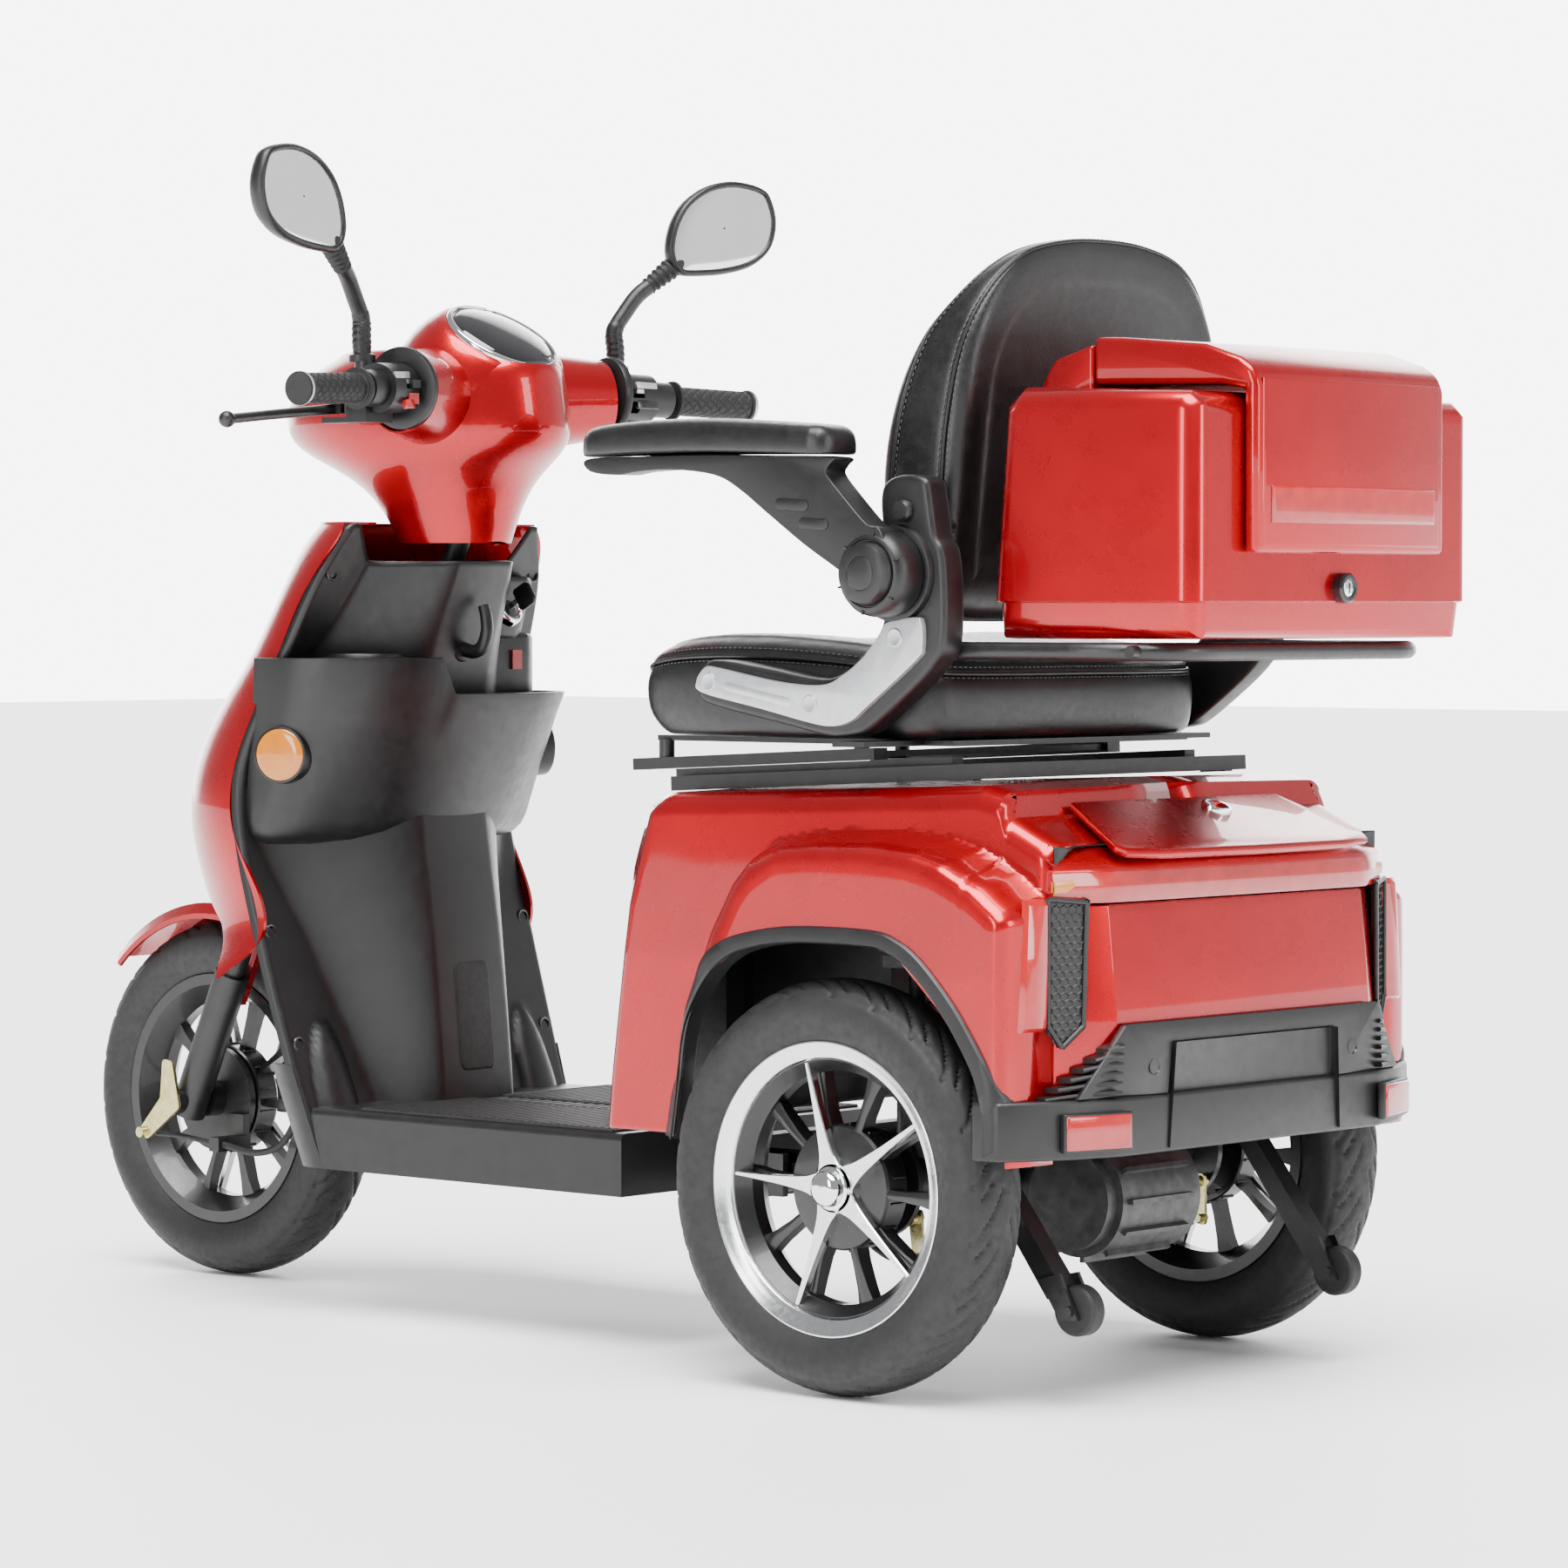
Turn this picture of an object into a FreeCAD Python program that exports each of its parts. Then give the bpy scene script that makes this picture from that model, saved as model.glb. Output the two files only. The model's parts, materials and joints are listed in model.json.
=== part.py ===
"""Three-wheeled mobility scooter: an assembly of separate parts, one STEP file each.

Millimetres. Design frame: X forward from the rear axle, Y to the rider's left, Z up from the ground.
On export everything moves back by X_MID, so the origin is the middle of the footprint on the ground.
"""
import FreeCAD
import Part
import math
import os

V = FreeCAD.Vector
os.makedirs("parts", exist_ok=True)

# ---- driving dimensions -------------------------------------------------------------------
WHEELBASE = 1184.0
TRACK = 589.0                 # between the rear tyres' middle planes
TYRE_R = 205.0                # 3.00-10 tyre
TYRE_HALF = 41.0
RIM_R = 144.0                 # flange
RIM_HALF = 33.0
RAKE = math.radians(25.0)     # steering axis from vertical
FORK_OFFSET = 59.0            # axle ahead of the steering axis
LEG_Y = 70.0                  # fork leg from the middle
BOX_REAR = 394.0              # luggage lid behind the rear axle
X_MID = (WHEELBASE + TYRE_R - BOX_REAR) / 2
SEAT_TILT = 2.9               # rails fall towards the front, degrees
AXLE_R = 12.0
RUN = 0.05                    # radial running clearance
GAP = 0.5                     # between parts that move past each other
TRACK_HALF = TRACK / 2

STEER_UP = V(-math.sin(RAKE), 0, math.cos(RAKE))
STEER_FWD = V(math.cos(RAKE), 0, math.sin(RAKE))
FRONT_AXLE = V(WHEELBASE, 0, TYRE_R)
REAR_AXLE = V(0, 0, TYRE_R)
SWING_PIVOT = V(235, 0, 190)
DOWN_TUBE = [(872.8, 0, 680.7), (862, 0, 560), (858, 0, 300), (800, 0, 186), (700, 0, 186)]
DOWN_TUBE_R = 19.0


# ---- small helpers ------------------------------------------------------------------------
def box(x0, x1, y0, y1, z0, z1):
    return Part.makeBox(x1 - x0, y1 - y0, z1 - z0, V(x0, y0, z0))


def cyl(start, end, r):
    way = end - start
    return Part.makeCylinder(r, way.Length, start, way)


def cone(start, end, r0, r1):
    way = end - start
    return Part.makeCone(r0, r1, way.Length, start, way)


def ring(start, end, r_out, r_in):
    return cyl(start, end, r_out).cut(cyl(start, end, r_in))


def across(x, z, y0, y1, r):
    """Cylinder along Y."""
    return cyl(V(x, y0, z), V(x, y1, z), r)


def fuse(shapes):
    """One solid from overlapping shapes."""
    out = shapes[0]
    if len(shapes) > 1:
        out = out.multiFuse(shapes[1:])
    return out.removeSplitter()


def group(shapes):
    return Part.makeCompound(shapes)


def mirror(shape):
    return shape.mirror(V(0, 0, 0), V(0, 1, 0))


def both(shape):
    return [shape, mirror(shape)]


def poly(points):
    return Part.makePolygon([V(*p) for p in points] + [V(*points[0])])


def side_plate(points, y0, y1):
    """Extrudes an (x, z) outline along Y."""
    face = Part.Face(poly([(x, y0, z) for x, z in points]))
    return face.extrude(V(0, y1 - y0, 0))


def plan_plate(points, z0, z1):
    """Extrudes an (x, y) outline along Z."""
    face = Part.Face(poly([(x, y, z0) for x, y in points]))
    return face.extrude(V(0, 0, z1 - z0))


def smooth_side_plate(points, y0, y1, r):
    """A side plate with its outline's corners rounded."""
    plate = side_plate(points, y0, y1)
    return round_edges(plate, r, lambda e: along(e, V(0, 1, 0)))


def along(edge, axis):
    if len(edge.Vertexes) < 2:
        return False
    way = edge.Vertexes[1].Point - edge.Vertexes[0].Point
    return way.Length > 0.5 and abs(way.normalize().dot(axis)) > 0.999


def round_edges(shape, r, pick):
    """Fillets the picked edges, or leaves them sharp where the fillet has no room."""
    edges = [e for e in shape.Edges if pick(e)]
    for radius in (r, r * 0.6, r * 0.3):
        try:
            rounded = shape.makeFillet(radius, edges)
            if rounded.isValid() and rounded.Volume > 0:
                return rounded
        except Part.OCCError:
            pass
    return shape


def spline_wire(points, closing_line=False):
    curve = Part.BSplineCurve()
    curve.interpolate([V(*p) for p in points])
    edges = [curve.toShape()]
    if closing_line:
        edges.append(Part.makeLine(V(*points[-1]), V(*points[0])))
    return Part.Wire(edges)


def loft(wires, ruled=False):
    return Part.makeLoft(wires, True, ruled)


def pipe(points, r):
    """A round bar along straight runs joined by tangent arcs."""
    pts = [V(*p) for p in points]
    edges = []
    here = pts[0]
    for before, corner, after in zip(pts, pts[1:], pts[2:]):
        a = (before - corner)
        b = (after - corner)
        run = min(a.Length, b.Length)
        a.normalize()
        b.normalize()
        turn = math.pi - a.getAngle(b)
        radius = 0.45 * run / math.tan(turn / 2)
        cut = radius * math.tan(turn / 2)
        start = corner + a * cut
        end = corner + b * cut
        inward = (a + b).normalize()
        centre = corner + inward * (radius / math.cos(turn / 2))
        middle = centre - inward * radius
        edges.append(Part.LineSegment(here, start).toShape())
        edges.append(Part.Arc(start, middle, end).toShape())
        here = end
    edges.append(Part.LineSegment(here, pts[-1]).toShape())
    path = Part.Wire(edges)
    circle = Part.Wire(Part.makeCircle(r, pts[0], pts[1] - pts[0]))
    return path.makePipeShell([circle], True, False)


def turned(profile, centre):
    """Revolves a closed (y, radius) outline about the Y axis through centre."""
    face = Part.Face(Part.Wire(Part.makePolygon(
        [V(centre.x + r, centre.y + y, centre.z) for y, r in profile + profile[:1]])))
    return face.revolve(centre, V(0, 1, 0), 360)


def fork_point(u, y, v):
    """u ahead of the leg line, v up along it from the axle."""
    p = FRONT_AXLE + STEER_FWD * u + STEER_UP * v
    return V(p.x, y, p.z)


def stem_point(v):
    """A point on the steering axis, v along it from beside the axle."""
    return fork_point(-FORK_OFFSET, 0, v)


def stem_at(z):
    foot = stem_point(0)
    return stem_point((z - foot.z) / math.cos(RAKE))


def tilt_seat(shape):
    """Tips the seat's rails nose down about a point under the seat."""
    out = shape.copy()
    out.rotate(V(100, 0, 605), V(0, 1, 0), SEAT_TILT)
    return out


def save(name, shape):
    out = shape.copy()
    out.translate(V(-X_MID, 0, 0))
    solids = out.Solids
    bad = [s for s in solids if not s.isValid() or s.Volume <= 0]
    print(f"{name}: {len(solids)} solids, {out.Volume / 1000:.0f} cm3" + (" INVALID" if bad or not solids else ""))
    (out if len(solids) != 1 else solids[0]).exportStep(f"parts/{name}.step")


# ---- wheels -------------------------------------------------------------------------------
BEAD_Y = 29.0
BEAD_R = 134.0
DRUM_R = 62.0
SPOKES = 10


def tyre(centre):
    """A hollow tyre: outer wall out and back, inner wall inside it."""
    def p(y, r):
        return V(centre.x + r, centre.y + y, centre.z)
    edges = [
        Part.makeLine(p(-BEAD_Y, BEAD_R), p(-BEAD_Y, 146)),
        Part.Arc(p(-BEAD_Y, 146), p(-TYRE_HALF, 170), p(-32, 194)).toShape(),
        Part.Arc(p(-32, 194), p(0, TYRE_R), p(32, 194)).toShape(),
        Part.Arc(p(32, 194), p(TYRE_HALF, 170), p(BEAD_Y, 146)).toShape(),
        Part.makeLine(p(BEAD_Y, 146), p(BEAD_Y, BEAD_R)),
        Part.makeLine(p(BEAD_Y, BEAD_R), p(22, BEAD_R)),
        Part.makeLine(p(22, BEAD_R), p(22, 146)),
        Part.Arc(p(22, 146), p(33, 168), p(26, 187)).toShape(),
        Part.Arc(p(26, 187), p(0, 196), p(-26, 187)).toShape(),
        Part.Arc(p(-26, 187), p(-33, 168), p(-22, 146)).toShape(),
        Part.makeLine(p(-22, 146), p(-22, BEAD_R)),
        Part.makeLine(p(-22, BEAD_R), p(-BEAD_Y, BEAD_R)),
    ]
    return Part.Face(Part.Wire(edges)).revolve(centre, V(0, 1, 0), 360)


def rim(centre, side, drum_depth, bore):
    """Cast rim. side is +1 where the outside faces +Y. The hub's drum is open inboard for the brake."""
    barrel = turned([(-RIM_HALF, RIM_R), (-29.2, RIM_R), (-29.2, 133.8), (29.2, 133.8), (29.2, RIM_R),
                     (RIM_HALF, RIM_R), (RIM_HALF, 128), (-RIM_HALF, 128)], centre)
    face_y = side * 24
    back_y = side * (24 - drum_depth)
    hub = cyl(centre + V(0, face_y, 0), centre + V(0, back_y, 0), DRUM_R)
    blades = []
    for i in range(SPOKES):
        blade = box(centre.x + 50, centre.x + 130, centre.y + min(side * 4, side * 22),
                    centre.y + max(side * 4, side * 22),
                    centre.z - 7, centre.z + 7)
        blade.rotate(centre, V(0, 1, 0), 360 / SPOKES * i)
        blades.append(blade)
    whole = fuse([barrel, hub] + blades)
    cavity = cyl(centre + V(0, side * 12, 0), centre + V(0, back_y - side, 0), DRUM_R - 7)
    hole = cyl(centre - V(0, 80, 0), centre + V(0, 80, 0), bore)
    return whole.cut(cavity).cut(hole)


def rear_wheel(side):
    centre = V(0, side * TRACK_HALF, TYRE_R)
    wheel = rim(centre, side, 46, AXLE_R + RUN)
    cap = cyl(centre + V(0, side * 24, 0), centre + V(0, side * 38, 0), 26)
    cap = cap.cut(cyl(centre, centre + V(0, side * 34, 0), 20))
    return tyre(centre), group([wheel, cap])


# ---- rear axle: drive unit, motor and brakes ------------------------------------------------
HOUSING_R = 48.0
MOTOR_X = -150.0
MOTOR_Z = 190.0


def drive_unit():
    """Differential housing, axle tubes, trailing arms and the brake backing plates, welded to one beam."""
    middle = across(0, TYRE_R, -45, 45, HOUSING_R + 12)
    tube = across(0, TYRE_R, -240, 240, 22)
    gearcase = box(-120, 0, -45, -5, TYRE_R - 45, TYRE_R + 30)
    stubs = across(0, TYRE_R, -(TRACK_HALF + 33), TRACK_HALF + 33, AXLE_R)
    plates = [across(0, TYRE_R, min(s * 240, s * 247), max(s * 240, s * 247), 54) for s in (1, -1)]
    arms = [box(0, SWING_PIVOT.x, y0, y0 + 24, 178, 202) for y0 in (-132, 108)]
    eyes = [across(SWING_PIVOT.x, SWING_PIVOT.z, y0, y0 + 24, 20) for y0 in (-132, 108)]
    whole = fuse([middle, tube, gearcase, stubs] + plates + arms + eyes)
    bore = across(SWING_PIVOT.x, SWING_PIVOT.z, -150, 150, 8 + RUN)
    return whole.cut(bore)


def motor():
    """Finned motor bolted to the gearcase, axis across the scooter."""
    body = across(MOTOR_X, MOTOR_Z, -5, 120, 58)
    end = across(MOTOR_X, MOTOR_Z, 120, 134, 50)
    fins = []
    for i in range(12):
        fin = box(MOTOR_X + 54, MOTOR_X + 64, 12, 112, MOTOR_Z - 2.5, MOTOR_Z + 2.5)
        fin.rotate(V(MOTOR_X, 0, MOTOR_Z), V(0, 1, 0), 30 * i)
        fins.append(fin)
    whole = fuse([body, end] + fins)
    return whole.cut(drive_unit())


def rear_brake_cables():
    """Both outer cables: from the backing plate forward under the body, clipped along the arms."""
    route = [(-34, 222, 130), (8, 214, 126), (48, 196, 134), (92, 176, 150), (136, 160, 172)]
    return group(both(pipe(route, 3.5)))


REAR_CAM = V(-36, 0, 172)


def rear_brake_arms():
    """Both cam levers inside the rear drums, on one line across the scooter."""
    outline = [(REAR_CAM.x - 8, REAR_CAM.z + 9), (REAR_CAM.x + 9, REAR_CAM.z + 6),
               (REAR_CAM.x + 2, REAR_CAM.z - 44),
               (REAR_CAM.x - 10, REAR_CAM.z - 46)]
    plate = smooth_side_plate(outline, 228, 232, 4)
    cam = across(REAR_CAM.x, REAR_CAM.z, 224, 239.6, 6)
    pin = across(REAR_CAM.x - 4, REAR_CAM.z - 38, 222, 236, 4)
    return group(both(fuse([plate, cam, pin])))


def shock_absorbers():
    """Coil-over dampers between the axle tube and the frame."""
    spring = cyl(V(-5, 190, 228), V(-5, 190, 380), 21)
    rod = cyl(V(-5, 190, 380), V(-5, 190, 414.5), 9)
    return group(both(fuse([spring, rod])))


# ---- front fork and front wheel --------------------------------------------------------------
STANCHION_R = 14.0
SLIDER_R = 20.0
CROWN_V = 263.0


def fork_sliders():
    """Both lower legs, the axle that joins them and the brake's backing plate."""
    legs = []
    for y in (LEG_Y, -LEG_Y):
        leg = cyl(fork_point(0, y, -16), fork_point(0, y, 165), SLIDER_R)
        legs.append(leg.cut(cyl(fork_point(0, y, 15), fork_point(0, y, 166), STANCHION_R + RUN)))
    axle = across(WHEELBASE, TYRE_R, -98, 98, 8)
    nuts = [across(WHEELBASE, TYRE_R, *sorted((s * 89, s * 97)), 14) for s in (1, -1)]
    plate = across(WHEELBASE, TYRE_R, 26, 34, 60)
    neck = across(WHEELBASE, TYRE_R, 34, 52, 20)
    spacer = across(WHEELBASE, TYRE_R, -52, -37, 12)
    cable_stop = box(WHEELBASE - 60, WHEELBASE - 44, 34, 84, 150, 166)
    cable_stop = cable_stop.cut(cyl(V(WHEELBASE - 90, 76, 158), V(WHEELBASE - 20, 76, 158), 4.2))
    strut = box(WHEELBASE - 58, WHEELBASE - 30, 34, 44, 150, 190)
    return fuse(legs + [axle] + nuts + [plate, neck, spacer, cable_stop, strut])


ARM_Y0 = 98.5
ARM_TOP = V(WHEELBASE + 6, 0, 252)
ARM_LOW = V(WHEELBASE + 47, 0, 168)


def front_brake_arm():
    """Pressed steel cam lever outside the left leg, on the end of the axle line."""
    outline = [(ARM_TOP.x - 8, ARM_TOP.z), (ARM_TOP.x + 8, ARM_TOP.z + 2), (WHEELBASE + 18, TYRE_R + 4),
               (ARM_LOW.x + 9, ARM_LOW.z), (ARM_LOW.x - 7, ARM_LOW.z - 8), (WHEELBASE - 14, TYRE_R - 6)]
    plate = smooth_side_plate(outline, ARM_Y0, ARM_Y0 + 4, 5)
    pin = across(ARM_LOW.x, ARM_LOW.z, ARM_Y0 - 14, ARM_Y0 + 10, 6)
    return fuse([plate, pin])


def front_brake_cable():
    """From the arm's pin through the stop, then up inside the apron."""
    rod = pipe([(ARM_LOW.x - 7.2, ARM_Y0 - 10, ARM_LOW.z - 2), (WHEELBASE + 5, 78, 164),
                (WHEELBASE - 43.5, 76, 158)], 3.0)
    outer = pipe([(WHEELBASE - 60.5, 76, 158), (WHEELBASE - 110, 74, 150), (WHEELBASE - 150, 70, 160),
                  (WHEELBASE - 172, 66, 196), (WHEELBASE - 180, 62, 240)], 4.0)
    return group([rod, outer])


def front_fender():
    """Crowned mudguard over the front tyre, held by stays on the lower legs."""
    inner_r, outer_r, half = 222.0, 226.0, 48.0
    band = turned([(-half, inner_r - 14), (-half, outer_r - 12), (-half + 10, outer_r),
                   (half - 10, outer_r),
                   (half, outer_r - 12), (half, inner_r - 14), (half - 4, inner_r - 14), (half - 4,
                       outer_r - 14),
                   (half - 12, inner_r), (-half + 12, inner_r), (-half + 4, outer_r - 14), (-half + 4,
                       inner_r - 14)],
                  FRONT_AXLE)
    wedge = side_plate([(FRONT_AXLE.x, FRONT_AXLE.z), (FRONT_AXLE.x + 300, FRONT_AXLE.z + 300),
                        (FRONT_AXLE.x + 60, FRONT_AXLE.z + 420), (FRONT_AXLE.x - 200,
                                                                  FRONT_AXLE.z + 300)], -60, 60)
    band = band.common(wedge)
    stays = []
    for s in (1, -1):
        y0, y1 = sorted((s * 44.5, s * (LEG_Y - SLIDER_R + 3)))
        stay = box(-11, 11, y0, y1, 128, 222)
        stay.rotate(V(0, 0, 0), V(0, 1, 0), -25)
        stay.translate(FRONT_AXLE)
        stays.append(stay.cut(cyl(fork_point(0, s * LEG_Y, 60), fork_point(0, s * LEG_Y, 260), SLIDER_R)))
    return fuse([band] + stays)


def front_wheel():
    centre = FRONT_AXLE
    wheel = rim(centre, -1, 46, 8 + RUN)
    return tyre(centre), wheel


def steering_stem():
    """Stanchions, crown and steering tube in one welded unit."""
    tubes = [cyl(fork_point(0, y, 50), fork_point(0, y, CROWN_V + 8), STANCHION_R) for y in (LEG_Y, -LEG_Y)]
    crown = box(-FORK_OFFSET - 24, 22, -LEG_Y - 22, LEG_Y + 22, CROWN_V - 8, CROWN_V + 8)
    crown.rotate(V(0, 0, 0), V(0, 1, 0), -math.degrees(RAKE))
    crown.translate(FRONT_AXLE)
    crown = round_edges(crown, 12, lambda e: along(e, STEER_UP))
    tube = cyl(stem_point(CROWN_V), stem_at(985), 13)
    return fuse(tubes + [crown, tube])


# ---- steering head: handlebar, cover, controls -------------------------------------------------
BAR_R = 11.0
BAR_MID = V(762, 0, 1004)
BAR_KNEE = V(745, 161, 1008)
BAR_END = V(704, 356, 1001)
GRIP_R = 16.5
POD_R = 27.0


def bar_at(t):
    """A point from the knee (0) to the bar's end (1)."""
    return BAR_KNEE + (BAR_END - BAR_KNEE) * t


BAR_WAY = (BAR_END - BAR_KNEE).normalize()


def handlebar():
    left = pipe([(BAR_MID.x, -20, BAR_MID.z), (BAR_MID.x - 1, 80, BAR_MID.z + 2), tuple(BAR_KNEE),
                 tuple(bar_at(0.97))], BAR_R)
    clamp = cyl(stem_at(985), stem_at(1018), 19)
    return fuse([left, mirror(left), clamp])


def oval(centre, a, b):
    """Closed ellipse wire as four smooth quarters starting on b."""
    pts = [centre + a * math.sin(t) + b * math.cos(t) for t in [2 * math.pi * i / 16 for i in range(16)]]
    curve = Part.BSplineCurve()
    curve.interpolate(pts, True)
    return Part.Wire(curve.toShape())


# height, middle X, half length, half width
HEAD_ROWS = [(842, 826, 66, 58), (885, 832, 84, 78), (925, 848, 132, 102), (962, 866, 186, 116),
             (1000, 868, 186, 116),
             (1034, 852, 162, 106), (1056, 850, 124, 84)]


def head_form(inset):
    """The cover's outer form, or its inner form when inset."""
    rows = [list(r) for r in HEAD_ROWS]
    rows[-1][0] -= inset
    if inset:
        rows[0][0] -= 12
    rings = [oval(V(x, 0, z), V(0, half - inset, 0), V(length - inset, 0, 0)) for z, x, length,
             half in rows]
    body = loft(rings)
    if not inset:
        body = round_edges(body, 16, lambda e: e.BoundBox.ZMin > HEAD_ROWS[-1][0] - 1)
    shoulders = [cone(V(790, s * 60, 1000), V(752, s * (158 + inset * 2), 1004), 58 - inset,
                      44 - inset) for s in (1, -1)]
    return body.fuse(shoulders[0]).fuse(shoulders[1])


HEADLIGHT_AT = V(950, 0, 1000)
DASH_AT = V(752, 0, 1068)
DASH_TILT = 33.0


def dash_disc(r, depth):
    """A disc facing up and back to the rider, its face through DASH_AT."""
    out_way = V(-math.sin(math.radians(DASH_TILT)), 0, math.cos(math.radians(DASH_TILT)))
    return Part.makeCylinder(r, depth, DASH_AT - out_way * depth, out_way)


def head_cover():
    """Red upper cover, a thin moulding round the bar and the stem."""
    shell = head_form(0).cut(head_form(3.0))
    lamp_hole = cyl(V(HEADLIGHT_AT.x - 40, 0, HEADLIGHT_AT.z), V(HEADLIGHT_AT.x + 60, 0, HEADLIGHT_AT.z),
                    62)
    out_way = V(-math.sin(math.radians(DASH_TILT)), 0, math.cos(math.radians(DASH_TILT)))
    dash_hole = Part.makeCylinder(66.5, 130, DASH_AT - out_way * 40, out_way)
    shell = shell.cut(lamp_hole).cut(dash_hole)
    ends = [box(600, 900, *sorted((s * 157, s * 260)), 900, 1100) for s in (1, -1)]
    for e in ends:
        shell = shell.cut(e)
    return max(shell.Solids, key=lambda s: s.Volume)


def headlight():
    lens = Part.makeSphere(90, V(HEADLIGHT_AT.x - 58, 0, HEADLIGHT_AT.z))
    keep = cyl(V(HEADLIGHT_AT.x - 38, 0, HEADLIGHT_AT.z), V(HEADLIGHT_AT.x + 60, 0, HEADLIGHT_AT.z), 60)
    return lens.common(keep)


def instrument():
    return round_edges(dash_disc(65.5, 26), 3, lambda e: e.BoundBox.ZMax > DASH_AT.z + 20)


def on_bar(side, t0, t1, r):
    a, b = bar_at(t0), bar_at(t1)
    c = cyl(a, b, r)
    return c if side > 0 else mirror(c)


def grip(side, bore):
    body = on_bar(side, 0.44, 1.0, GRIP_R)
    flange = on_bar(side, 0.415, 0.44, GRIP_R + 6)
    cap = on_bar(side, 0.98, 1.0, GRIP_R + 1.5)
    whole = fuse([body, flange, cap])
    return whole.cut(on_bar(side, 0.4, 0.971, bore))


def switch_pods():
    """Switch housings next to the cover, with the brake lever perches moulded on."""
    out = []
    bar = handlebar()
    for side in (1, -1):
        drum = on_bar(1, 0.0, 0.27, POD_R)
        collar = on_bar(1, 0.27, 0.405, 20)
        perch = box(BAR_KNEE.x - 6, BAR_KNEE.x + 62, BAR_KNEE.y + 22, BAR_KNEE.y + 62, BAR_KNEE.z - 38,
                    BAR_KNEE.z - 4)
        mirror_boss = cyl(V(764, 200, 1012), V(764, 200, 1040), 11)
        whole = fuse([drum, collar, perch, mirror_boss]).cut(bar)
        whole = whole.cut(lever_slot()).cut(slider_slot()).cut(horn_slot())
        out.append(whole if side > 0 else mirror(whole))
    return group(out)


LEVER_PIVOT = V(792, 196, 986)


def lever_slot():
    """Clear space for the lever's eye, its swing and its pin."""
    gap = box(LEVER_PIVOT.x - 22, LEVER_PIVOT.x + 40, LEVER_PIVOT.y - 20, LEVER_PIVOT.y + 40,
              LEVER_PIVOT.z - 10, LEVER_PIVOT.z + 6.5)
    pin = cyl(LEVER_PIVOT - V(0, 0, 20), LEVER_PIVOT + V(0, 0, 20), 4)
    return gap.fuse(pin)


def brake_lever(side):
    """Blade with a ball end, its eye turning on a pin in the perch."""
    pts = [(800, 205), (808, 232), (806, 300), (792, 372)]
    blade = pipe([(x, y, LEVER_PIVOT.z - (y - 200) * 0.09) for x, y in pts], 5.5)
    ball = Part.makeSphere(9, V(792, 376, LEVER_PIVOT.z - 16))
    eye = cyl(LEVER_PIVOT - V(0, 0, 6), LEVER_PIVOT + V(0, 0, 6), 11)
    arm = box(LEVER_PIVOT.x - 3, LEVER_PIVOT.x + 14, LEVER_PIVOT.y, LEVER_PIVOT.y + 16, LEVER_PIVOT.z - 5,
              LEVER_PIVOT.z + 5)
    pin = cyl(LEVER_PIVOT - V(0, 0, 15), LEVER_PIVOT + V(0, 0, 15), 4 - RUN)
    whole = fuse([blade, ball, eye, arm, pin])
    return whole if side > 0 else mirror(whole)


SLIDER_AT = V(738, 176, 1010)


def slider_slot():
    return box(SLIDER_AT.x - 40, SLIDER_AT.x - 10, SLIDER_AT.y - 12, SLIDER_AT.y + 12, SLIDER_AT.z - 4,
               SLIDER_AT.z + 6)


def turn_slider():
    return box(SLIDER_AT.x - 29, SLIDER_AT.x - 11, SLIDER_AT.y - 6, SLIDER_AT.y + 6, SLIDER_AT.z - 3.5,
               SLIDER_AT.z + 5.5)


def horn_slot():
    return box(SLIDER_AT.x - 40, SLIDER_AT.x - 8.4, SLIDER_AT.y - 8, SLIDER_AT.y + 8, SLIDER_AT.z - 21,
               SLIDER_AT.z - 8)


def horn_button():
    return box(SLIDER_AT.x - 25, SLIDER_AT.x - 12, SLIDER_AT.y - 7.4, SLIDER_AT.y + 7.4, SLIDER_AT.z - 20.4,
               SLIDER_AT.z - 8.6)


MIRROR_BALL = V(750, 268, 1163)
MIRROR_AT = V(722, 330, 1206)


def mirror_stems():
    stem = pipe([(764, 200, 1040), (764, 200, 1098), (757, 234, 1136), tuple(MIRROR_BALL - V(1.5, 5, 7))],
                7)
    return group(both(stem))


def mirror_head(side):
    """Oval shell with its glass face towards the rider."""
    rings = [oval(V(x, 0, 0), V(0, 82 * k, 0), V(0, 0, 57 * k)) for x,
             k in ((-6, 0.97), (0, 1), (8, 0.98), (16, 0.86), (23, 0.6))]
    shell = loft(rings)
    shell.rotate(V(0, 0, 0), V(1, 0, 0), 14)
    shell.rotate(V(0, 0, 0), V(0, 0, 1), 12)
    shell.translate(MIRROR_AT)
    neck = cone(MIRROR_BALL, MIRROR_BALL + (MIRROR_AT - MIRROR_BALL) * 0.55 + V(8, 0, 0), 10, 14)
    whole = fuse([shell, neck])
    return whole if side > 0 else mirror(whole)


# ---- front apron, leg shield, footboard -----------------------------------------------------------
# height, flange X, flange half-width, nose X, crest X, crest half-width
SHIELD = [
    (160, 840, 203, 905, 786, 104),
    (270, 879, 212, 1015, 792, 104),
    (400, 921, 216, 1105, 806, 112),
    (520, 955, 216, 1144, 824, 122),
    (590, 958, 214, 1136, 830, 122),
    (655, 935, 206, 1100, 826, 110),
    (724, 905, 194, 1040, 812, 90),
    (800, 873, 178, 998, 784, 72),
    (862, 848, 150, 962, 762, 64),
]
SKIN = 4.0
NECK_R = 106.0                # swept by the head cover's neck as it steers
NECK_Z = 824.0
SHIELD_GAP = 1.5              # seam between apron and leg shield


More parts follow.
